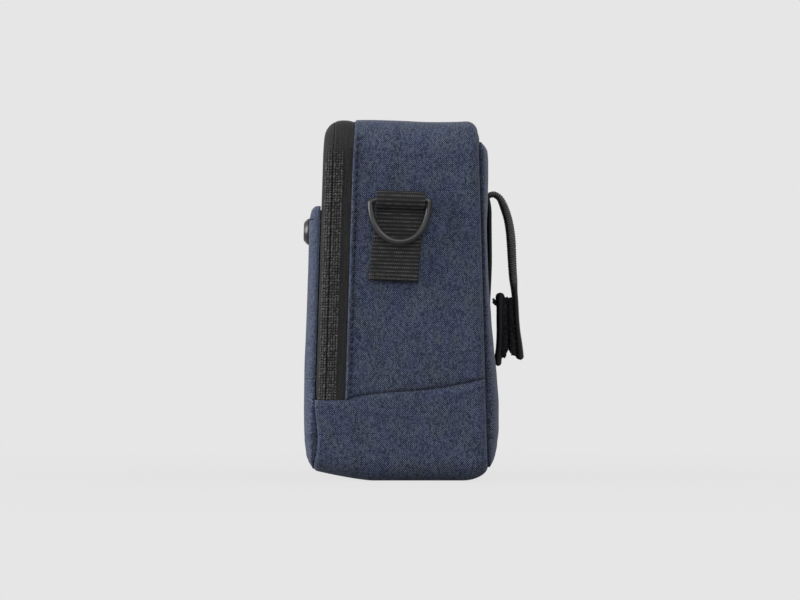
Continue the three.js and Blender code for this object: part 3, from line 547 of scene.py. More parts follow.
# Finishes, most with the slot that they stand for
SHELL = (shell_cloth(), "shell_fabric")
LINING = (lining_cloth(), "lining")
TAPE = (zip_tape_cloth(), "tape")
KNIT_COLOURS = [(0.35, (0.016, 0.016, 0.016)), (0.7, (0.074, 0.072, 0.069))]
KNIT = (speckled("knit_yarn", 1400.0, 2.0, KNIT_COLOURS, 0.7, 0.35, (0.0001, 0.5)), "coil")
WEBBING = (webbing_yarn("webbing_yarn"), "webbing")
# The belt webbing as a lit copy, with painted light on its edges up high, and a shaded copy, with painted
# shade on its edges throughout.
BELT = (webbing_yarn("lit_belt_webbing_yarn", BELT_LIT_FROM), "webbing")
SHADED_BELT = (webbing_yarn("shaded_webbing_yarn", HEIGHT), "webbing")
PILE_COLOURS = [(0.35, (0.008, 0.008, 0.010)), (0.75, (0.026, 0.026, 0.029))]
PILE = (speckled("pad_pile", 900.0, 3.0, PILE_COLOURS, 1.0, 0.1, (0.0005, 0.9)), "pad")
NAVY_COLOURS = [(0.3, (0.0015, 0.002, 0.006)), (0.7, (0.004, 0.006, 0.015))]
NAVY_THREAD = (speckled("navy_thread", 2500.0, 1.0, NAVY_COLOURS, 0.7, 0.3), "shell_fabric")
BLACK_COLOURS = [(0.3, (0.012, 0.011, 0.011)), (0.7, (0.040, 0.036, 0.034))]
BLACK_THREAD = (speckled("black_thread", 2500.0, 1.0, BLACK_COLOURS, 0.6, 0.3), "webbing")
COATING = black_metal()
METAL = (COATING, "metal")
TEETH = (COATING, "coil")
BOARD_COLOURS = [(0.3, (0.016, 0.016, 0.018)), (0.7, (0.026, 0.026, 0.028))]
BOARD = speckled("dull_board", 400.0, 3.0, BOARD_COLOURS, 0.7, 0.5)


# Making pieces
def keep_piece(name, shape, material, slot):
    """A finished bmesh as a named, smooth piece."""
    mesh = bpy.data.meshes.new(name)
    shape.to_mesh(mesh)
    shape.free()
    mesh.polygons.foreach_set("use_smooth", [True] * len(mesh.polygons))
    mesh.materials.append(material)
    piece = bpy.data.objects.new(name, mesh)
    bpy.context.scene.collection.objects.link(piece)
    return piece


def attach(piece, body, *nodes):
    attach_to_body(piece, body)
    if nodes:
        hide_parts(*nodes)


def laid_grid(columns, rows, place):
    """A grid laid on a surface. place(u, v) gives a point and its place on the flat cloth."""
    shape = bmesh.new()
    bmesh.ops.create_grid(shape, x_segments=columns, y_segments=rows, size=0.5)
    cloth = shape.loops.layers.uv.new("cloth")
    laid = {vertex: place(vertex.co.x + 0.5, vertex.co.y + 0.5) for vertex in shape.verts}
    for face in shape.faces:
        for loop in face.loops:
            loop[cloth].uv = laid[loop.vert][1]
    for vertex, (point, _) in laid.items():
        vertex.co = point
    return shape


def cloth_piece(name, columns, rows, place, outward, finish=SHELL):
    """A sheet of cloth on a surface, thickened away from outward."""
    shape = laid_grid(columns, rows, place)
    middle = place(0.5, 0.5)[0]
    shape.normal_update()
    nearest = min(shape.faces, key=lambda face: (face.calc_center_median() - middle).length)
    if nearest.normal.dot(Vector(outward)) < 0:
        bmesh.ops.reverse_faces(shape, faces=shape.faces)
    piece = keep_piece(name, shape, *finish)
    wall = piece.modifiers.new("wall", "SOLIDIFY")
    wall.thickness = CLOTH_THICKNESS[finish[1]]
    wall.offset = -1
    return piece


def closed_piece(name, columns, rows, place, finish):
    """A grid whose edges meet or are capped, as one closed skin."""
    shape = laid_grid(columns, rows, place)
    bmesh.ops.remove_doubles(shape, verts=shape.verts, dist=1e-6)
    bmesh.ops.holes_fill(shape, edges=shape.edges, sides=0)
    bmesh.ops.recalc_face_normals(shape, faces=shape.faces)
    return keep_piece(name, shape, *finish)


def turned_piece(name, profile, place, lean, finish):
    """A piece turned about an axis that leans in the plane of Y and Z, from (radius, height)."""
    shape = bmesh.new()
    ring = [shape.verts.new((radius, 0, height)) for radius, height in profile]
    edges = [shape.edges.new(pair) for pair in zip(ring, ring[1:])]
    around = {"cent": (0, 0, 0), "axis": (0, 0, 1), "angle": tau}
    bmesh.ops.spin(shape, geom=ring + edges, steps=48, use_merge=True, **around)
    bmesh.ops.remove_doubles(shape, verts=shape.verts, dist=1e-6)
    bmesh.ops.recalc_face_normals(shape, faces=shape.faces)
    turn = Matrix.Translation(place) @ Matrix.Rotation(lean, 4, "X")
    bmesh.ops.transform(shape, matrix=turn, verts=shape.verts)
    return keep_piece(name, shape, *finish)


def stitches(name, places, length, radius, finish):
    """A run of stitches. Each place is a point, the way along it, the way out and a size."""
    one = bmesh.new()
    bmesh.ops.create_uvsphere(one, u_segments=6, v_segments=4, radius=1)
    bmesh.ops.rotate(one, matrix=Matrix.Rotation(pi / 2, 3, "Y"), verts=one.verts)
    bmesh.ops.scale(one, vec=(length / 2, radius, radius), verts=one.verts)
    template = bpy.data.meshes.new("stitch")
    one.to_mesh(template)
    one.free()
    shape = bmesh.new()
    for point, along, out, size in places:
        along = along.normalized()
        side = out.cross(along).normalized()
        turn = Matrix((along, side, along.cross(side))).transposed().to_4x4()
        copy = template.copy()
        copy.transform(Matrix.Translation(point) @ turn @ Matrix.Scale(size, 4))
        shape.from_mesh(copy)
        bpy.data.meshes.remove(copy)
    bpy.data.meshes.remove(template)
    return keep_piece(name, shape, *finish)


# The case's wall. A hoop is a slice through it at one y, up the sides and over the top or under the base.
def always(value):
    """The same value at every place."""
    return lambda place: value


def arch(rim_at):
    """Up the sides and over the top, down to a rim."""
    return TOP_CORNER, always(HEIGHT), rim_at, TOP_SHARES


def bowl(rim_at):
    """Under the base and up the sides to a rim."""
    return BASE_CORNER, base_at, rim_at, BASE_SHARES


def hoop(share, y, kind):
    """A point of the hoop at y, the way out there and the length from the hoop's middle."""
    radius, crest_at, rim_at, (first, second) = kind
    crest, rim = crest_at(y), rim_at(y)
    climb = 1 if rim > crest else -1
    hand = 1 if share >= 0 else -1
    share = abs(share)
    flat = HALF_WIDTH - radius
    if share < first:
        x = share / first * flat
        return Vector((hand * x, y, crest)), Vector((0, 0, -climb)), hand * x
    lift = abs(crest - (0 if climb > 0 else HEIGHT))
    if share < second:
        turned = (share - first) / (second - first)
        angle = turned * pi / 2
        x = flat + radius * sin(angle)
        z = crest + climb * radius * (1 - cos(angle))
        out = Vector((hand * sin(angle), 0, -climb * cos(angle)))
        return Vector((hand * x, y, z)), out, hand * (flat + radius * angle + lift * turned)
    run = (share - second) / (1 - second) * (abs(rim - crest) - radius)
    point = Vector((hand * HALF_WIDTH, y, crest + climb * (radius + run)))
    return point, Vector((hand, 0, 0)), hand * (flat + pi / 2 * radius + lift + run)


def wall(share, v, kind, profile):
    """A point of the case's wall, the way out, and its place on the flat cloth."""
    y = 0.0
    for _ in range(3):
        point, out, length = hoop(share, y, kind)
        y, depth, run = profile(v, front_at(point.z), back_at(point.z), out)
    point.y = y
    return point - out * depth, out, (length, run)


def wall_place(kind, profile, lift_at=always(0.0)):
    """A sheet laid round the wall, lifted off it by lift_at."""

    def place(u, v):
        point, out, cloth = wall(2 * u - 1, v, kind, profile)
        return point + out * lift_at(point), cloth

    return place


def skin_profile(front_margin, back_margin, front_rounds, back_rounds, depth=0.0, squash=1.0):
    """From a front seam to a back seam, rounding in at both. Rounds are at the sides and level.

    The level round at the back may be squashed, so that it rises less than it reaches.
    """

    def profile(v, front, back, out):
        near = mix(front_rounds, abs(out.z))
        far = mix(back_rounds, abs(out.z))
        margin = front_margin(front) if callable(front_margin) else front_margin
        start, end = front + margin, back - back_margin
        flat = end - start - near - far
        run = v * (pi / 2 * (near + far) + flat)
        if run < pi / 2 * near:
            angle = run / near
            return start + near * (1 - cos(angle)), depth + near * (1 - sin(angle)), run
        rest = run - pi / 2 * near
        if rest < flat or far < 1e-6:
            return start + near + rest, depth, run
        angle = (rest - flat) / far
        rise = far * mix((1.0, squash), abs(out.z))
        return end - far + far * sin(angle), depth + rise * (1 - cos(angle)), run

    return profile


def tape_profile(begin, end):
    """Forward from under the side fabric, round the lid's edge and in across the lid's face."""

    def profile(v, front, back, out):
        run = mix((begin, end), v)
        radius = mix(TAPE_ROUNDS, abs(out.z))
        sunk = mix((TAPE_DEPTH, TAPE_TOP_DEPTH), abs(out.z))
        sunk += 0.0007 * abs(out.z) * (1 - ease((run - TAPE_UNDER + 0.001) / 0.004))
        straight = RIM_LINE + TAPE_UNDER - radius
        if run < straight:
            return front + RIM_LINE + TAPE_UNDER - run, sunk, run
        if run < straight + pi / 2 * radius:
            angle = (run - straight) / radius
            y = front + TAPE_FRONT + radius * (1 - sin(angle))
            return y, sunk + radius * (1 - cos(angle)), run
        past = run - straight - pi / 2 * radius
        return front + TAPE_FRONT, sunk + radius + past, run

    return profile


def half_at(z, inset, base=0.0):
    """Half the width of the case's outline at a height, set in. The base may be raised."""
    if z > HEIGHT - TOP_CORNER:
        over = z - (HEIGHT - TOP_CORNER)
        return HALF_WIDTH - TOP_CORNER + sqrt(max((TOP_CORNER - inset) ** 2 - over**2, 0))
    if z < BASE_CORNER + base:
        under = BASE_CORNER + base - z
        return HALF_WIDTH - BASE_CORNER + sqrt(max((BASE_CORNER - inset) ** 2 - under**2, 0))
    return HALF_WIDTH - inset


def face_place(foot, top, inset, y_at):
    """A sheet across the front or the back, from foot to top inside the case's outline."""

    def place(u, v):
        z = foot + (top - foot) * (0.35 * v + 0.65 * sin(pi / 2 * v))
        x = (2 * u - 1) * half_at(z, inset)
        return Vector((x, y_at(x, z), z)), (x, z)

    return place


def cloth_ripple(point, seed):
    """The soft unevenness of padded cloth."""
    return sum(ripple(point, size, seed + own) * height for size, height, own in RIPPLES)


# Outer fabric of the sides, the top and the base
def seam_dip(point):
    """How far the cloth dips at the boot's seam, softly at the front and deeply at the back."""
    beside = 1 - ease(abs(point.z - boot_height(point.y)) / SEAM_REACH)
    return mix(SEAM_DIPS, ease((point.y - 0.001) / 0.010)) * beside


def fold_line(front):
    """How far the folded edge over the zip lies behind the front plane; further at the top."""
    z = (front + HALF_DEPTH) / FRONT_LEAN
    return RIM_LINE + 0.0001 + 0.0004 * ease((z - 0.130) / 0.018)


gusset_skin = skin_profile(fold_line, BACK_SEAM, (0.0009, 0.0009), (0.0035, 0.0050))
boot_skin = skin_profile(front_seam, BACK_SEAM, (0.0012, 0.0014), (0.0035, 0.0105), squash=0.6)


def gusset_place(u, v):
    point, out, cloth = wall(2 * u - 1, v**1.2, arch(boot_height), gusset_skin)
    front = front_at(point.z)
    from_fold = point.y - front - fold_line(front)
    hem = HEM_RISE * (1 - ease((from_fold - 0.0015) / 0.002)) * (1 - max(out.z, 0))
    ditch = HEM_DITCH * swell((from_fold - STITCH_LINE) / 0.0013) * (1 - max(out.z, 0))
    sag = TOP_SAG * swell((point.y - 0.016) / 0.028) * max(out.z, 0)
    proud = cloth_ripple(point, 1.0) * ease(from_fold / 0.008) + hem - ditch
    return point + out * (proud - sag - seam_dip(point)), cloth


def boot_place(u, v):
    point, out, cloth = wall(2 * u - 1, v, bowl(boot_height), boot_skin)
    rest = ease(1 - abs(out.x)) * (1 - ease((point.z - 0.001) / 0.004))
    proud = cloth_ripple(point, 2.0) * (1 - rest)
    return point + out * (proud - seam_dip(point)), cloth


def front_skin_place(u, v):
    """The front below the lid's fold, inside the pocket's foot."""
    z = mix((0.0060, BOOT_FRONT_HEIGHT - 0.0006), v)
    x = (2 * u - 1) * half_at(z, 0.0030, FRONT_LIFT)
    return Vector((x, front_at(z) + 0.0004, z)), (x, z)


def pocket_slice(share, half, proud, radius, tuck, pinch):
    """Across a pocket's level slice: x, the stand off the case, and the length.

    It is crowned like a pillow, in a long round at each side, and the sides tuck in.
    """
    hand = 1 if share >= 0 else -1
    share = abs(share)
    radius = min(radius, proud * 0.85)
    flat = half - PILLOW_ROUND
    flat_end, round_end = PILLOW_SHARES
    if share < flat_end:
        x = share / flat_end * flat
        return hand * x, proud, hand * x
    if share < round_end:
        angle = (share - flat_end) / (round_end - flat_end) * pi / 2
        along = PILLOW_ROUND * sin(angle)
        sunk = radius * (1 - cos(angle))
        return hand * (flat + along), proud - sunk, hand * (flat + hypot(along, sunk))
    low = (share - round_end) / (1 - round_end)
    down = low * (proud - radius + tuck)
    x = half - pinch * low**1.6
    return hand * x, proud - radius - down, hand * (flat + hypot(PILLOW_ROUND, radius) + down)


attach(cloth_piece("gusset_cloth", 260, 72, gusset_place, (0, 0, 1)), "tray", "side_top_gusset")
attach(cloth_piece("boot_cloth", 220, 80, boot_place, (0, 0, -1)), "tray", "boot")
piece = cloth_piece("lower_front_cloth", 120, 24, front_skin_place, (0, -1, 0))
attach(piece, "tray", "lower_front_panel")


def back_cloth_y(x, z):
    edge = max(abs(x) / 0.0565, abs(z - 0.0755) / 0.0715)
    return back_at(z) - 0.0016 + 0.0011 * ease((1 - edge) / 0.08)


back_place = face_place(0.0066, HEIGHT - 0.0035, 0.0035, back_cloth_y)
attach(cloth_piece("back_cloth", 60, 60, back_place, (0, 1, 0)), "tray", "back_panel")


def stitch_run(kind, profile, v, pitch, lift_at, size_at, slant=0.0, jitter=0.0):
    """Places for stitches along a line round the wall, a pitch apart."""
    fine = [wall(i / HOOP_STEPS - 1, v, kind, profile) for i in range(2 * HOOP_STEPS + 1)]
    places = []
    wanted = fine[0][2][0] + pitch / 2
    for (point, out, cloth), (ahead, _, _) in zip(fine, fine[1:]):
        if cloth[0] >= wanted:
            along = (ahead - point).normalized()
            turned = Matrix.Rotation(slant + random.uniform(-jitter, jitter), 3, out) @ along
            size = size_at(point) * (1 + random.uniform(-jitter, jitter))
            places.append((point + out * lift_at(point), turned, out, size))
            wanted += pitch
    return places


def hem_lift(point):
    """Proud of the sides' cloth, and sunk where the hem goes over the top."""
    return mix((0.00022, -0.0006), ease((point.z - 0.140) / 0.006))


def hem_foot(y):
    return boot_height(y) + 0.001


hem_share = STITCH_LINE / TOP_CLOTH_RUN
hem_places = stitch_run(arch(hem_foot), gusset_skin, hem_share, HEM_PITCH, hem_lift, always(1.0))
attach(stitches("hem_stitches", hem_places, 0.0021, 0.00058, NAVY_THREAD), "tray")


# Zip
def tape_lift(point):
    return ripple(point, 0.02, 9.0) * 0.0001


body_tape = wall_place(arch(always(TAPE_FOOT)), tape_profile(0.0, GROOVE_RUN - ZIP_GAP), tape_lift)
lid_tape = wall_place(arch(always(TAPE_FOOT)), tape_profile(GROOVE_RUN + ZIP_GAP, TAPE_END_RUN), tape_lift)
attach(cloth_piece("zip_tape_body_cloth", 240, 14, body_tape, (0, 0, 1), TAPE), "tray", "zip_tape_body")
piece = cloth_piece("zip_tape_lid_cloth", 240, 26, lid_tape, (0, 0, 1), TAPE)
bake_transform(piece)
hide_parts("zip_tape_lid")


def knit_size(point):
    """Full size up the sides, small where the zip turns over the top."""
    return mix((1.0, 0.15), ease((point.z - 0.130) / 0.012))


def knit_rows(name, offsets):
    """Rows of slanting loops along the tape, each row slanting against the next."""
    places = []
    kind = arch(always(BOOT_FRONT_HEIGHT + 0.0004))
    for index, offset in enumerate(offsets):
        line = tape_profile(GROOVE_RUN + offset, GROOVE_RUN + offset)
        slant = KNIT_SLANT if index % 2 else -KNIT_SLANT
        places += stitch_run(kind, line, 0.5, KNIT_PITCH, always(0.00012), knit_size, slant, KNIT_JITTER)
    return stitches(name, places, 0.0012, 0.00038, KNIT)


attach(knit_rows("zip_knit_body", BODY_KNIT_ROWS), "tray")
piece = knit_rows("zip_knit_lid", LID_KNIT_ROWS)
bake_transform(piece)


def coil_teeth(name, offset):
    """The coil under the tape, as teeth that lie across its line."""
    line = tape_profile(GROOVE_RUN + offset, GROOVE_RUN + offset)
    kind = arch(always(BOOT_FRONT_HEIGHT))
    places = stitch_run(kind, line, 0.5, TOOTH_PITCH, always(-TOOTH_DEPTH), always(1.0), pi / 2)
    return stitches(name, places, 0.0026, 0.00050, TEETH)


attach(coil_teeth("zip_coil_body_teeth", -TOOTH_LINE), "tray", "zip_coil_body")
piece = coil_teeth("zip_coil_lid_teeth", TOOTH_LINE)
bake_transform(piece)
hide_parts("zip_coil_lid")


# Lid
def lid_cloth_y(x, z):
    return front_at(z) + TAPE_FRONT + 0.0008


lid_place = face_place(BOOT_FRONT_HEIGHT, HEIGHT - LID_PANEL_MARGIN, LID_PANEL_MARGIN, lid_cloth_y)
piece = cloth_piece("lid_cloth", 60, 70, lid_place, (0, -1, 0))
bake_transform(piece)
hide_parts("lid_panel")


def lid_lining_y(x, z):
    inward = 1 - max(abs(x) / 0.051, abs(z - 0.088) / 0.054) ** 4
    return front_at(z) + LID_LINING_DEPTH + 0.0008 * max(inward, 0) + cloth_ripple((x, 0, z), 4.0)


inner_lid = face_place(0.0300, HEIGHT - LID_LINING_MARGIN, LID_LINING_MARGIN, lid_lining_y)
piece = cloth_piece("lid_lining_cloth", 60, 70, inner_lid, (0, 1, 0), LINING)
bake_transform(piece)
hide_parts("lid_lining", "lid_foam")


def piping_profile(v, front, back, out):
    """A round binding along the lid's inner edge."""
    angle = tau * v
    y = front + PIPING_LINE + PIPING_RADIUS * cos(angle)
    return y, PIPING_DEPTH + PIPING_RADIUS * sin(angle), PIPING_RADIUS * angle


lid_piping = wall_place(arch(always(FOLD_HEIGHT + 0.001)), piping_profile)
attach(closed_piece("lid_binding_tape", 160, 12, lid_piping, TAPE), "lid", "lid_binding")


# Linings of the tray
def rim_profile(v, front, back, out):
    """Over the rim's edge, from under the zip tape to the lining."""
    angle = pi * v
    middle = (TAPE_DEPTH + 0.0009 + LINING_DEPTH) / 2
    half = (LINING_DEPTH - TAPE_DEPTH - 0.0009) / 2
    y = front + INNER_RIM - 0.0016 * sin(angle) ** 0.7
    return y, middle - half * cos(angle), half * angle


def lining_lift(point):
    return cloth_ripple(point, 6.0) * 0.6


def back_lining_y(x, z):
    return back_at(z) - LINING_DEPTH + cloth_ripple((x, 0, z), 7.0)


def front_lining_y(x, z):
    return front_at(z) + mix((LINING_DEPTH, LID_LINING_DEPTH), ease((z - 0.024) / 0.007))


rim_kind = arch(always(LINING_RIM))
piece = cloth_piece("rim_binding_tape", 200, 14, wall_place(rim_kind, rim_profile), (0, -1, 0), TAPE)
attach(piece, "tray", "rim_binding")
upper_lining = skin_profile(INNER_RIM, LINING_DEPTH, (0, 0), (0.003, 0.003), LINING_DEPTH)
piece = cloth_piece(
    "gusset_lining_cloth", 160, 44, wall_place(rim_kind, upper_lining, lining_lift), (0, 0, -1), LINING
)
attach(piece, "tray", "gusset_lining", "gusset_foam")
lower_lining = skin_profile(LINING_DEPTH, LINING_DEPTH, (0.002, 0.002), (0.003, 0.003), LINING_DEPTH)
base_place = wall_place(bowl(always(LINING_RIM)), lower_lining, lining_lift)
piece = cloth_piece("base_lining_cloth", 120, 50, base_place, (0, 0, 1), LINING)
attach(piece, "tray", "base_foam")
inner_back = face_place(LINING_DEPTH, HEIGHT - LINING_DEPTH, LINING_DEPTH, back_lining_y)
piece = cloth_piece("back_lining_cloth", 60, 60, inner_back, (0, -1, 0), LINING)
attach(piece, "tray", "back_lining", "back_foam")
inner_front = face_place(0.0085, 0.0305, LINING_DEPTH, front_lining_y)
piece = cloth_piece("lower_front_lining_cloth", 60, 20, inner_front, (0, 1, 0), LINING)
attach(piece, "tray", "lower_front_lining", "lower_front_foam")


# Pockets
def read_off(table, z):
    """A smooth value between the entries of a table of (height, value) in millimetres."""
    z *= 1000
    if z <= table[0][0]:
        return table[0][1] / 1000
    for (low, first), (high, second) in zip(table, table[1:]):
        if z <= high:
            climb = (z - low) / (high - low)
            return mix((first, second), ease(climb) * 0.5 + climb * 0.5) / 1000
    return table[-1][1] / 1000


def front_pocket_place(low, high):
    """The front pocket's cloth. Its folded sides hold the cloth that the open mouth draws out."""

    def place(u, v):
        z = mix((low, high), v)
        proud = read_off(FRONT_POCKET_STAND, z)
        sewn = 1 - ease((z - 0.029) / 0.010)
        half = half_at(z, mix((HALF_WIDTH - FRONT_POCKET_HALF, SEWN_INSET), sewn), FRONT_LIFT)
        tuck = front_seam(front_at(z)) + SEWN_TUCK * sewn
        pinch = POCKET_PINCH * sewn
        x, stand, length = pocket_slice(2 * u - 1, half, proud, FRONT_POCKET_ROUND, tuck, pinch)
        lift = cloth_ripple((x, 0, z), 11.0) * ease((stand - 0.001) / 0.003)
        drawn = min(max((stand - SIDE_DRAW[0]) / (SIDE_DRAW[1] - SIDE_DRAW[0]), 0), 1)
        held = max(z - FRONT_POCKET_TILT, 0) * POCKET_OPENING * (1 - drawn)
        return Vector((x, front_at(z) - stand - lift, z)), (length + copysign(held, length), z)

    return place


lower_place = front_pocket_place(FRONT_POCKET_FOOT, FRONT_POCKET_TILT)
piece = cloth_piece("front_pocket_lower_cloth", 150, 40, lower_place, (0, -1, 0))
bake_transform(piece)
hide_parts("front_pocket_base", "front_pocket_fold")
upper_place = front_pocket_place(FRONT_POCKET_TILT, FRONT_POCKET_TOP)
piece = cloth_piece("front_pocket_cloth", 150, 80, upper_place, (0, -1, 0))
tilt_start = Vector((0, front_at(FRONT_POCKET_TILT), FRONT_POCKET_TILT))
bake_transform(piece)
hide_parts("front_pocket_panel", "front_pocket_side_right", "front_pocket_side_left")

hem_height = FRONT_POCKET_TOP - 0.0055
hem_line = front_pocket_place(hem_height, hem_height + 0.001)
places = []
for i in range(MOUTH_STITCHES):
    point = hem_line(mix((0.115, 0.885), i / (MOUTH_STITCHES - 1)), 0)[0]
    places.append((point + Vector((0, -0.0001, 0)), ACROSS, Vector((0, -1, 0)), 1.0))
attach(stitches("mouth_stitches", places, 0.0016, 0.00030, NAVY_THREAD), "front_pocket")


def back_pocket_place(u, v):
    z = mix((BACK_POCKET_FOOT, BACK_POCKET_TOP + 0.0006), v)
    proud = read_off(BACK_POCKET_STAND, z)
    half = half_at(z, HALF_WIDTH - BACK_POCKET_HALF)
    x, stand, length = pocket_slice(2 * u - 1, half, proud, BACK_POCKET_ROUND, BACK_SEAM, POCKET_PINCH)
    bed = STRAP_BED * (swell((z - 0.080) / 0.045) + swell((z - 0.1215) / 0.008))
    bed *= 1 - ease((abs(x) - 0.015) / 0.008)
    lift = cloth_ripple((x, 0, z), 13.0) * ease((stand - 0.001) / 0.003)
    return Vector((x, back_at(z) + stand - bed + lift, z)), (length, z)


piece = cloth_piece("back_pocket_cloth", 150, 120, back_pocket_place, (0, 1, 0))
attach(piece, "tray", "back_pocket_panel")


# Webbing
def smooth_path(points, step):
    """Evenly spaced points on a smooth line through the given ones."""
    dense = []
    ends = [points[0] * 2 - points[1], *points, points[-1] * 2 - points[-2]]
    for before, first, second, after in zip(ends, ends[1:], ends[2:], ends[3:]):
        bend = 2 * before - 5 * first + 4 * second - after
        twist = 3 * first - before - 3 * second + after
        for i in range(CURVE_STEPS):
            t = i / CURVE_STEPS
            dense.append(0.5 * (2 * first + (second - before) * t + bend * t**2 + twist * t**3))
    dense.append(points[-1])
    even = [dense[0]]
    run = 0.0
    for first, second in zip(dense, dense[1:]):
        run += (second - first).length
        if run >= step:
            even.append(second)
            run = 0.0
    return even


def strap_piece(name, path, across, width, thickness_at, pitch, finish, shift=None, rib=0.05):
    """A ribbed strap with round ends along a path."""
    runs = [0.0]
    for first, second in zip(path, path[1:]):
        runs.append(runs[-1] + (second - first).length)
    last = len(path) - 1

    def place(u, v):
        index = min(round(v * last), last)
        point = path[index]
        along = (path[min(index + 1, last)] - path[max(index - 1, 0)]).normalized()
        out = across.cross(along).normalized()
        run = runs[index]
        half = thickness_at(point) / 2
        to_end = min(run, runs[-1] - run)
        cap = sqrt(max(1 - (1 - min(to_end / half, 1)) ** 2, 0.0))
        half *= max(cap, 0.05) * (1 + rib * sin(tau * run / pitch))
        angle = tau * u
        cosine, sine = cos(angle), sin(angle)
        side = squared(cosine, 0.3) * width / 2
        rise = squared(sine, 0.6) * half
        skin = point + across * side + out * rise
        if shift:
            skin += shift(skin)
        return skin, (run / pitch + (0.5 if sine > 0 else 0), side / BEAD_PITCH)

    return closed_piece(name, 36, last, place, finish)


def thickness_from(table):
    return lambda point: read_off(table, point.z)


def side_view(points):
    """A route of the belt loop, in metres."""
    level = CAMERA_HEIGHT * 1000
    return [Vector((0, y * BELT_SCALE, level + (z - level) * BELT_SCALE)) / 1000 for y, z in points]


bed_points = []
for i in range(13):
    z = mix(STRAP_ENDS, i / 12)
    bed_points.append(Vector((0, read_off(STRAP_FACE, z) - FLAT_THICKNESS / 2, z)))
bed_path = smooth_path(bed_points, ROUTE_STEP)
flat_thickness = always(FLAT_THICKNESS)
# The flat strap and the lower leaf take the webbing with painted shade on its edges; the upper leaf takes
# the one with painted light up high.
piece = strap_piece("belt_strap_flat", bed_path, ACROSS, STRAP_WIDTH, flat_thickness, RIB_PITCH, SHADED_BELT)
attach(piece, "tray", "belt_strap_base")
for name, route, table, finish, body, node in (
    ("belt_leaf_upper", UPPER_LEAF, UPPER_THICKNESS, BELT, "belt_strap_upper", "belt_strap_upper"),
    ("belt_leaf_lower", LOWER_LEAF, LOWER_THICKNESS, SHADED_BELT, "tray", "belt_strap_lower"),
):
    path = smooth_path(side_view(route), ROUTE_STEP)
    piece = strap_piece(name, path, ACROSS, STRAP_WIDTH, thickness_from(table), RIB_PITCH, finish, rib=0.07)
    attach(piece, body, node)


def pad_piece(name, points, seed, body, node):
    """A pad of rough pile along one leaf, with loose tufts round its edge."""
    path = smooth_path(side_view(points), 0.0004)
    thickness_at = thickness_from(PAD_THICKNESS)

    def shift(point):
        sizes_and_seeds = ((0.0012, seed), (0.0011, seed + 3), (0.0012, seed + 7))
        return Vector([ripple(point, size, each) for size, each in sizes_and_seeds]) * 0.00035

    piece = strap_piece(name, path, ACROSS, PAD_WIDTH, thickness_at, 0.002, PILE, shift, rib=0.0)
    attach(piece, body, node)
    places = []
    for _ in range(TUFTS):
        point = random.choice(path)
        edge = random.choice((-1, 1)) * PAD_WIDTH / 2
        if random.random() < 0.3:
            point = random.choice((path[0], path[-1]))
            edge = random.uniform(-1, 1) * PAD_WIDTH / 2
        off = Vector((edge, random.uniform(-0.5, 0.5) * thickness_at(point), 0))
        way = Vector((copysign(1, edge), random.uniform(-1, 1), random.uniform(-1, 1)))
        size = random.choice((0.7, 0.9, 1.2, 1.2, 2.2))
        places.append((point + off, way, Vector((0, 0.3, 1)).normalized(), size))
    attach(stitches(name + "_tufts", places, 0.0011, 0.00013, PILE), body)


pad_piece("loop_pile", LOOP_PAD, 21.0, "belt_strap_upper", "loop_pad")
pad_piece("hook_pile", HOOK_PAD, 31.0, "tray", "hook_pad")
frays = []
for _ in range(FRAYS):
    root = Vector((random.uniform(-0.0145, 0.0145), 0.0400, random.uniform(0.0728, 0.0746)))
    way = Vector((random.uniform(-0.4, 0.4), random.uniform(-1.0, -0.6), random.uniform(0.6, 1.2)))
    frays.append((root + way * 0.0005, way, ACROSS, random.uniform(0.6, 1.3)))
attach(stitches("leaf_fray", frays, 0.0018, 0.00014, PILE), "tray")


# D-rings and their tabs
def tab_points():
    """The tab's webbing seen from the front: up, round the ring's bar and down again."""
    points = [Vector((TAB_INNER, 0, z)) for z in (TAB_FOOT, 0.095, 0.106, 0.1125)]
    for i in range(9):
        angle = radians(180 - i * 35)
        bow = Vector((cos(angle) * 0.0027, 0, sin(angle) * (0.0029 if angle > 0 else 0.0036)))
        points.append(Vector((BAR_X, 0, RING_HEIGHT)) + bow)
    points += [Vector((TAB_OUTER - 0.0001, 0, 0.1117)), Vector((TAB_OUTER - 0.0002, 0, 0.1095))]
    points += [Vector((TAB_OUTER, 0, z)) for z in (0.106, 0.095, TAB_FOOT)]
    return points


def tab_shift(point):
    skew = -0.0021 * ease((0.113 - point.z) / 0.020) - 0.0008 * ease((0.097 - point.z) / 0.014)
    return Vector((0, RING_Y + 0.0004 + skew, -0.035 * point.y))


def tab_thickness(point):
    """Thicker at the foot, where the webbing's end is turned under."""
    return 0.0012 + 0.0007 * (1 - ease((point.z - TAB_FOOT - 0.0020) / 0.0016))


ring_path = []
bar_half = RING_WIDTH / 2 - RING_WIRE / 2
for i in range(RING_STEPS):
    angle = tau * i / RING_STEPS
    cosine, sine = cos(angle), sin(angle)
    across, along, reach = RING_ABOVE if sine >= 0 else RING_BELOW
    y = squared(cosine, across) * bar_half
    ring_path.append(Vector((0, y, abs(sine) ** along * reach - RING_CORNER)))


def ring_place(side):
    lean = Matrix.Rotation(-side * radians(RING_LEAN), 3, "Y")
    middle = Vector((side * BAR_X, RING_Y, RING_HEIGHT))

    def place(u, v):
        index = round(v * RING_STEPS) % RING_STEPS
        point = ring_path[index]
        along = (ring_path[(index + 1) % RING_STEPS] - ring_path[index - 1]).normalized()
        out = along.cross(ACROSS)
        angle = tau * u
        off = (out * cos(angle) + ACROSS * sin(angle)) * RING_WIRE / 2
        return middle + lean @ (point + off), (angle, index)

    return place


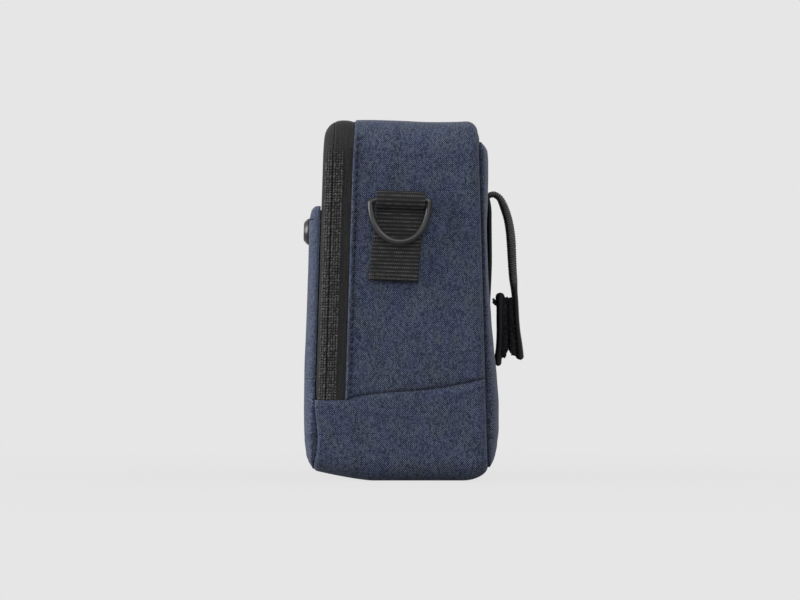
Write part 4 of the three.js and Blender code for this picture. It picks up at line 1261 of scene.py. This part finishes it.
for hand, side in (("right", 1), ("left", -1)):
    path = [Vector((side * point.x, point.y, point.z)) for point in smooth_path(tab_points(), ROUTE_STEP)]
    name = "d_ring_webbing_" + hand
    backward = Vector((0, 1, 0))
    piece = strap_piece(name, path, backward, TAB_WIDTH, tab_thickness, TAB_RIB, WEBBING, tab_shift)
    attach(piece, "tray", "d_ring_tab_" + hand)
    places = []
    for row in range(2):
        for i in range(9):
            y = mix((-0.0088, 0.0088), i / 8)
            point = Vector((side * (TAB_OUTER + 0.0007), y, TAB_FOOT + 0.0012 + row * 0.0013 - 0.04 * y))
            places.append((point + tab_shift(point), Vector((0, 1, -0.04)), Vector((side, 0, 0)), 1.0))
    attach(stitches("tab_stitches_" + hand, places, 0.0021, 0.00035, BLACK_THREAD), "tray")
    piece = closed_piece("d_ring_wire_" + hand, 20, RING_STEPS, ring_place(side), METAL)
    attach(piece, "d_ring_" + hand, "d_ring_" + hand)


# Press stud, turned about an axis square to the lid
stud_place = Vector((0, front_at(STUD_HEIGHT), STUD_HEIGHT))
stud_lean = pi / 2 - atan(FRONT_LEAN)
pocket_face = read_off(FRONT_POCKET_STAND, STUD_HEIGHT) * 1000
for name, profile, stand, body, node in (
    ("stud_cap", STUD_CAP, pocket_face, "front_pocket", "snap_cap"),
    ("stud_socket", STUD_SOCKET, pocket_face, "front_pocket", "snap_socket"),
    ("stud_post", STUD_POST, 0, "lid", "snap_stud"),
    ("stud_back_plate", STUD_PLATE, 0, "lid", "snap_stud_plate"),
):
    outline = [(radius / 1000, (stand + height) / 1000) for radius, height in profile]
    attach(turned_piece(name, outline, stud_place, stud_lean, METAL), body, node)


# Solids that are shown as they are
for name in ("zip_slider", "zip_puller"):
    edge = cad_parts[name].modifiers.new("edge", "BEVEL")
    edge.width = HARDWARE_EDGE
    edge.segments = 3
    edge.limit_method = "ANGLE"
for name, material in (("zip_slider", COATING), ("zip_puller", COATING), ("base_board", BOARD)):
    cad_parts[name].data.materials.clear()
    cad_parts[name].data.materials.append(material)


# How full of padding each padded cloth is; the fill is listed but not used, and each cloth is only looked
# up
for fill, names in (
    (0.9, ("gusset", "boot", "lid", "back")),
    (0.5, ("back_pocket",)),
    (0.8, ("lid_lining", "gusset_lining", "base_lining", "back_lining", "lower_front_lining")),
):
    for name in names:
        bpy.data.objects[name + "_cloth"]


# Camera, light and backdrop
def camera_and_lights():
    scene = bpy.context.scene
    lens = bpy.data.cameras.new("camera")
    lens.lens = CAMERA_LENS
    lens.sensor_width = CAMERA_SENSOR
    lens.clip_end = 20
    camera = bpy.data.objects.new("camera", lens)
    camera.location = (CAMERA_DISTANCE, CAMERA_Y, CAMERA_HEIGHT)
    camera.rotation_euler = (pi / 2, 0, pi / 2)
    scene.collection.objects.link(camera)
    scene.camera = camera
    for name, place, size, power in LAMPS:
        lamp = bpy.data.lights.new(name, "AREA")
        lamp.energy = power
        lamp.size = size
        light = bpy.data.objects.new(name, lamp)
        light.location = place
        aim = Vector(LAMP_AIM) - Vector(place)
        light.rotation_euler = aim.to_track_quat("-Z", "Y").to_euler()
        scene.collection.objects.link(light)


def studio_world():
    world = bpy.data.worlds.new("studio")
    world.use_nodes = True
    bpy.context.scene.world = world
    sky = Nodes(world.node_tree)
    background = sky.tree.nodes["Background"]
    background.inputs[0].default_value = (*WORLD_TINT, 1)
    background.inputs[1].default_value = WORLD_LIGHT
    seen = sky.node("ShaderNodeBackground", None, [BACKDROP_GREY])
    sky.choose_by(sky.seen_ray(), background, seen, "World Output")


def floor_paint():
    """The backdrop's grey as it is seen, with some of the floor's own shade near the case."""
    finish = Finish("floor_paint")
    finish.paint((*FLOOR_PAINT, 1), 1.0, 0.0)
    distance = finish.node("ShaderNodeVectorMath", {"operation": "LENGTH"}, [finish.place()], output=1)
    far = (distance * (1 / SHADE_REACH)).math("MINIMUM", 1.0)
    glow = finish.node("ShaderNodeEmission", None, [BACKDROP_GREY])
    share = (far * (1 - FLOOR_GLOW) + FLOOR_GLOW) * finish.seen_ray()
    finish.choose_by(share, finish.shader, glow, "Material Output")
    finish.material.cycles.emission_sampling = "NONE"
    return finish.material


def studio_floor():
    shape = bmesh.new()
    bmesh.ops.create_grid(shape, x_segments=1, y_segments=1, size=FLOOR_SIZE)
    bmesh.ops.translate(shape, vec=(0, 0, -FLOOR_DROP), verts=shape.verts)
    mesh = bpy.data.meshes.new("floor")
    shape.to_mesh(mesh)
    shape.free()
    mesh.materials.append(floor_paint())
    floor = bpy.data.objects.new("floor", mesh)
    bpy.context.scene.collection.objects.link(floor)


camera_and_lights()
studio_world()
studio_floor()
bpy.context.scene.view_settings.view_transform = "Standard"
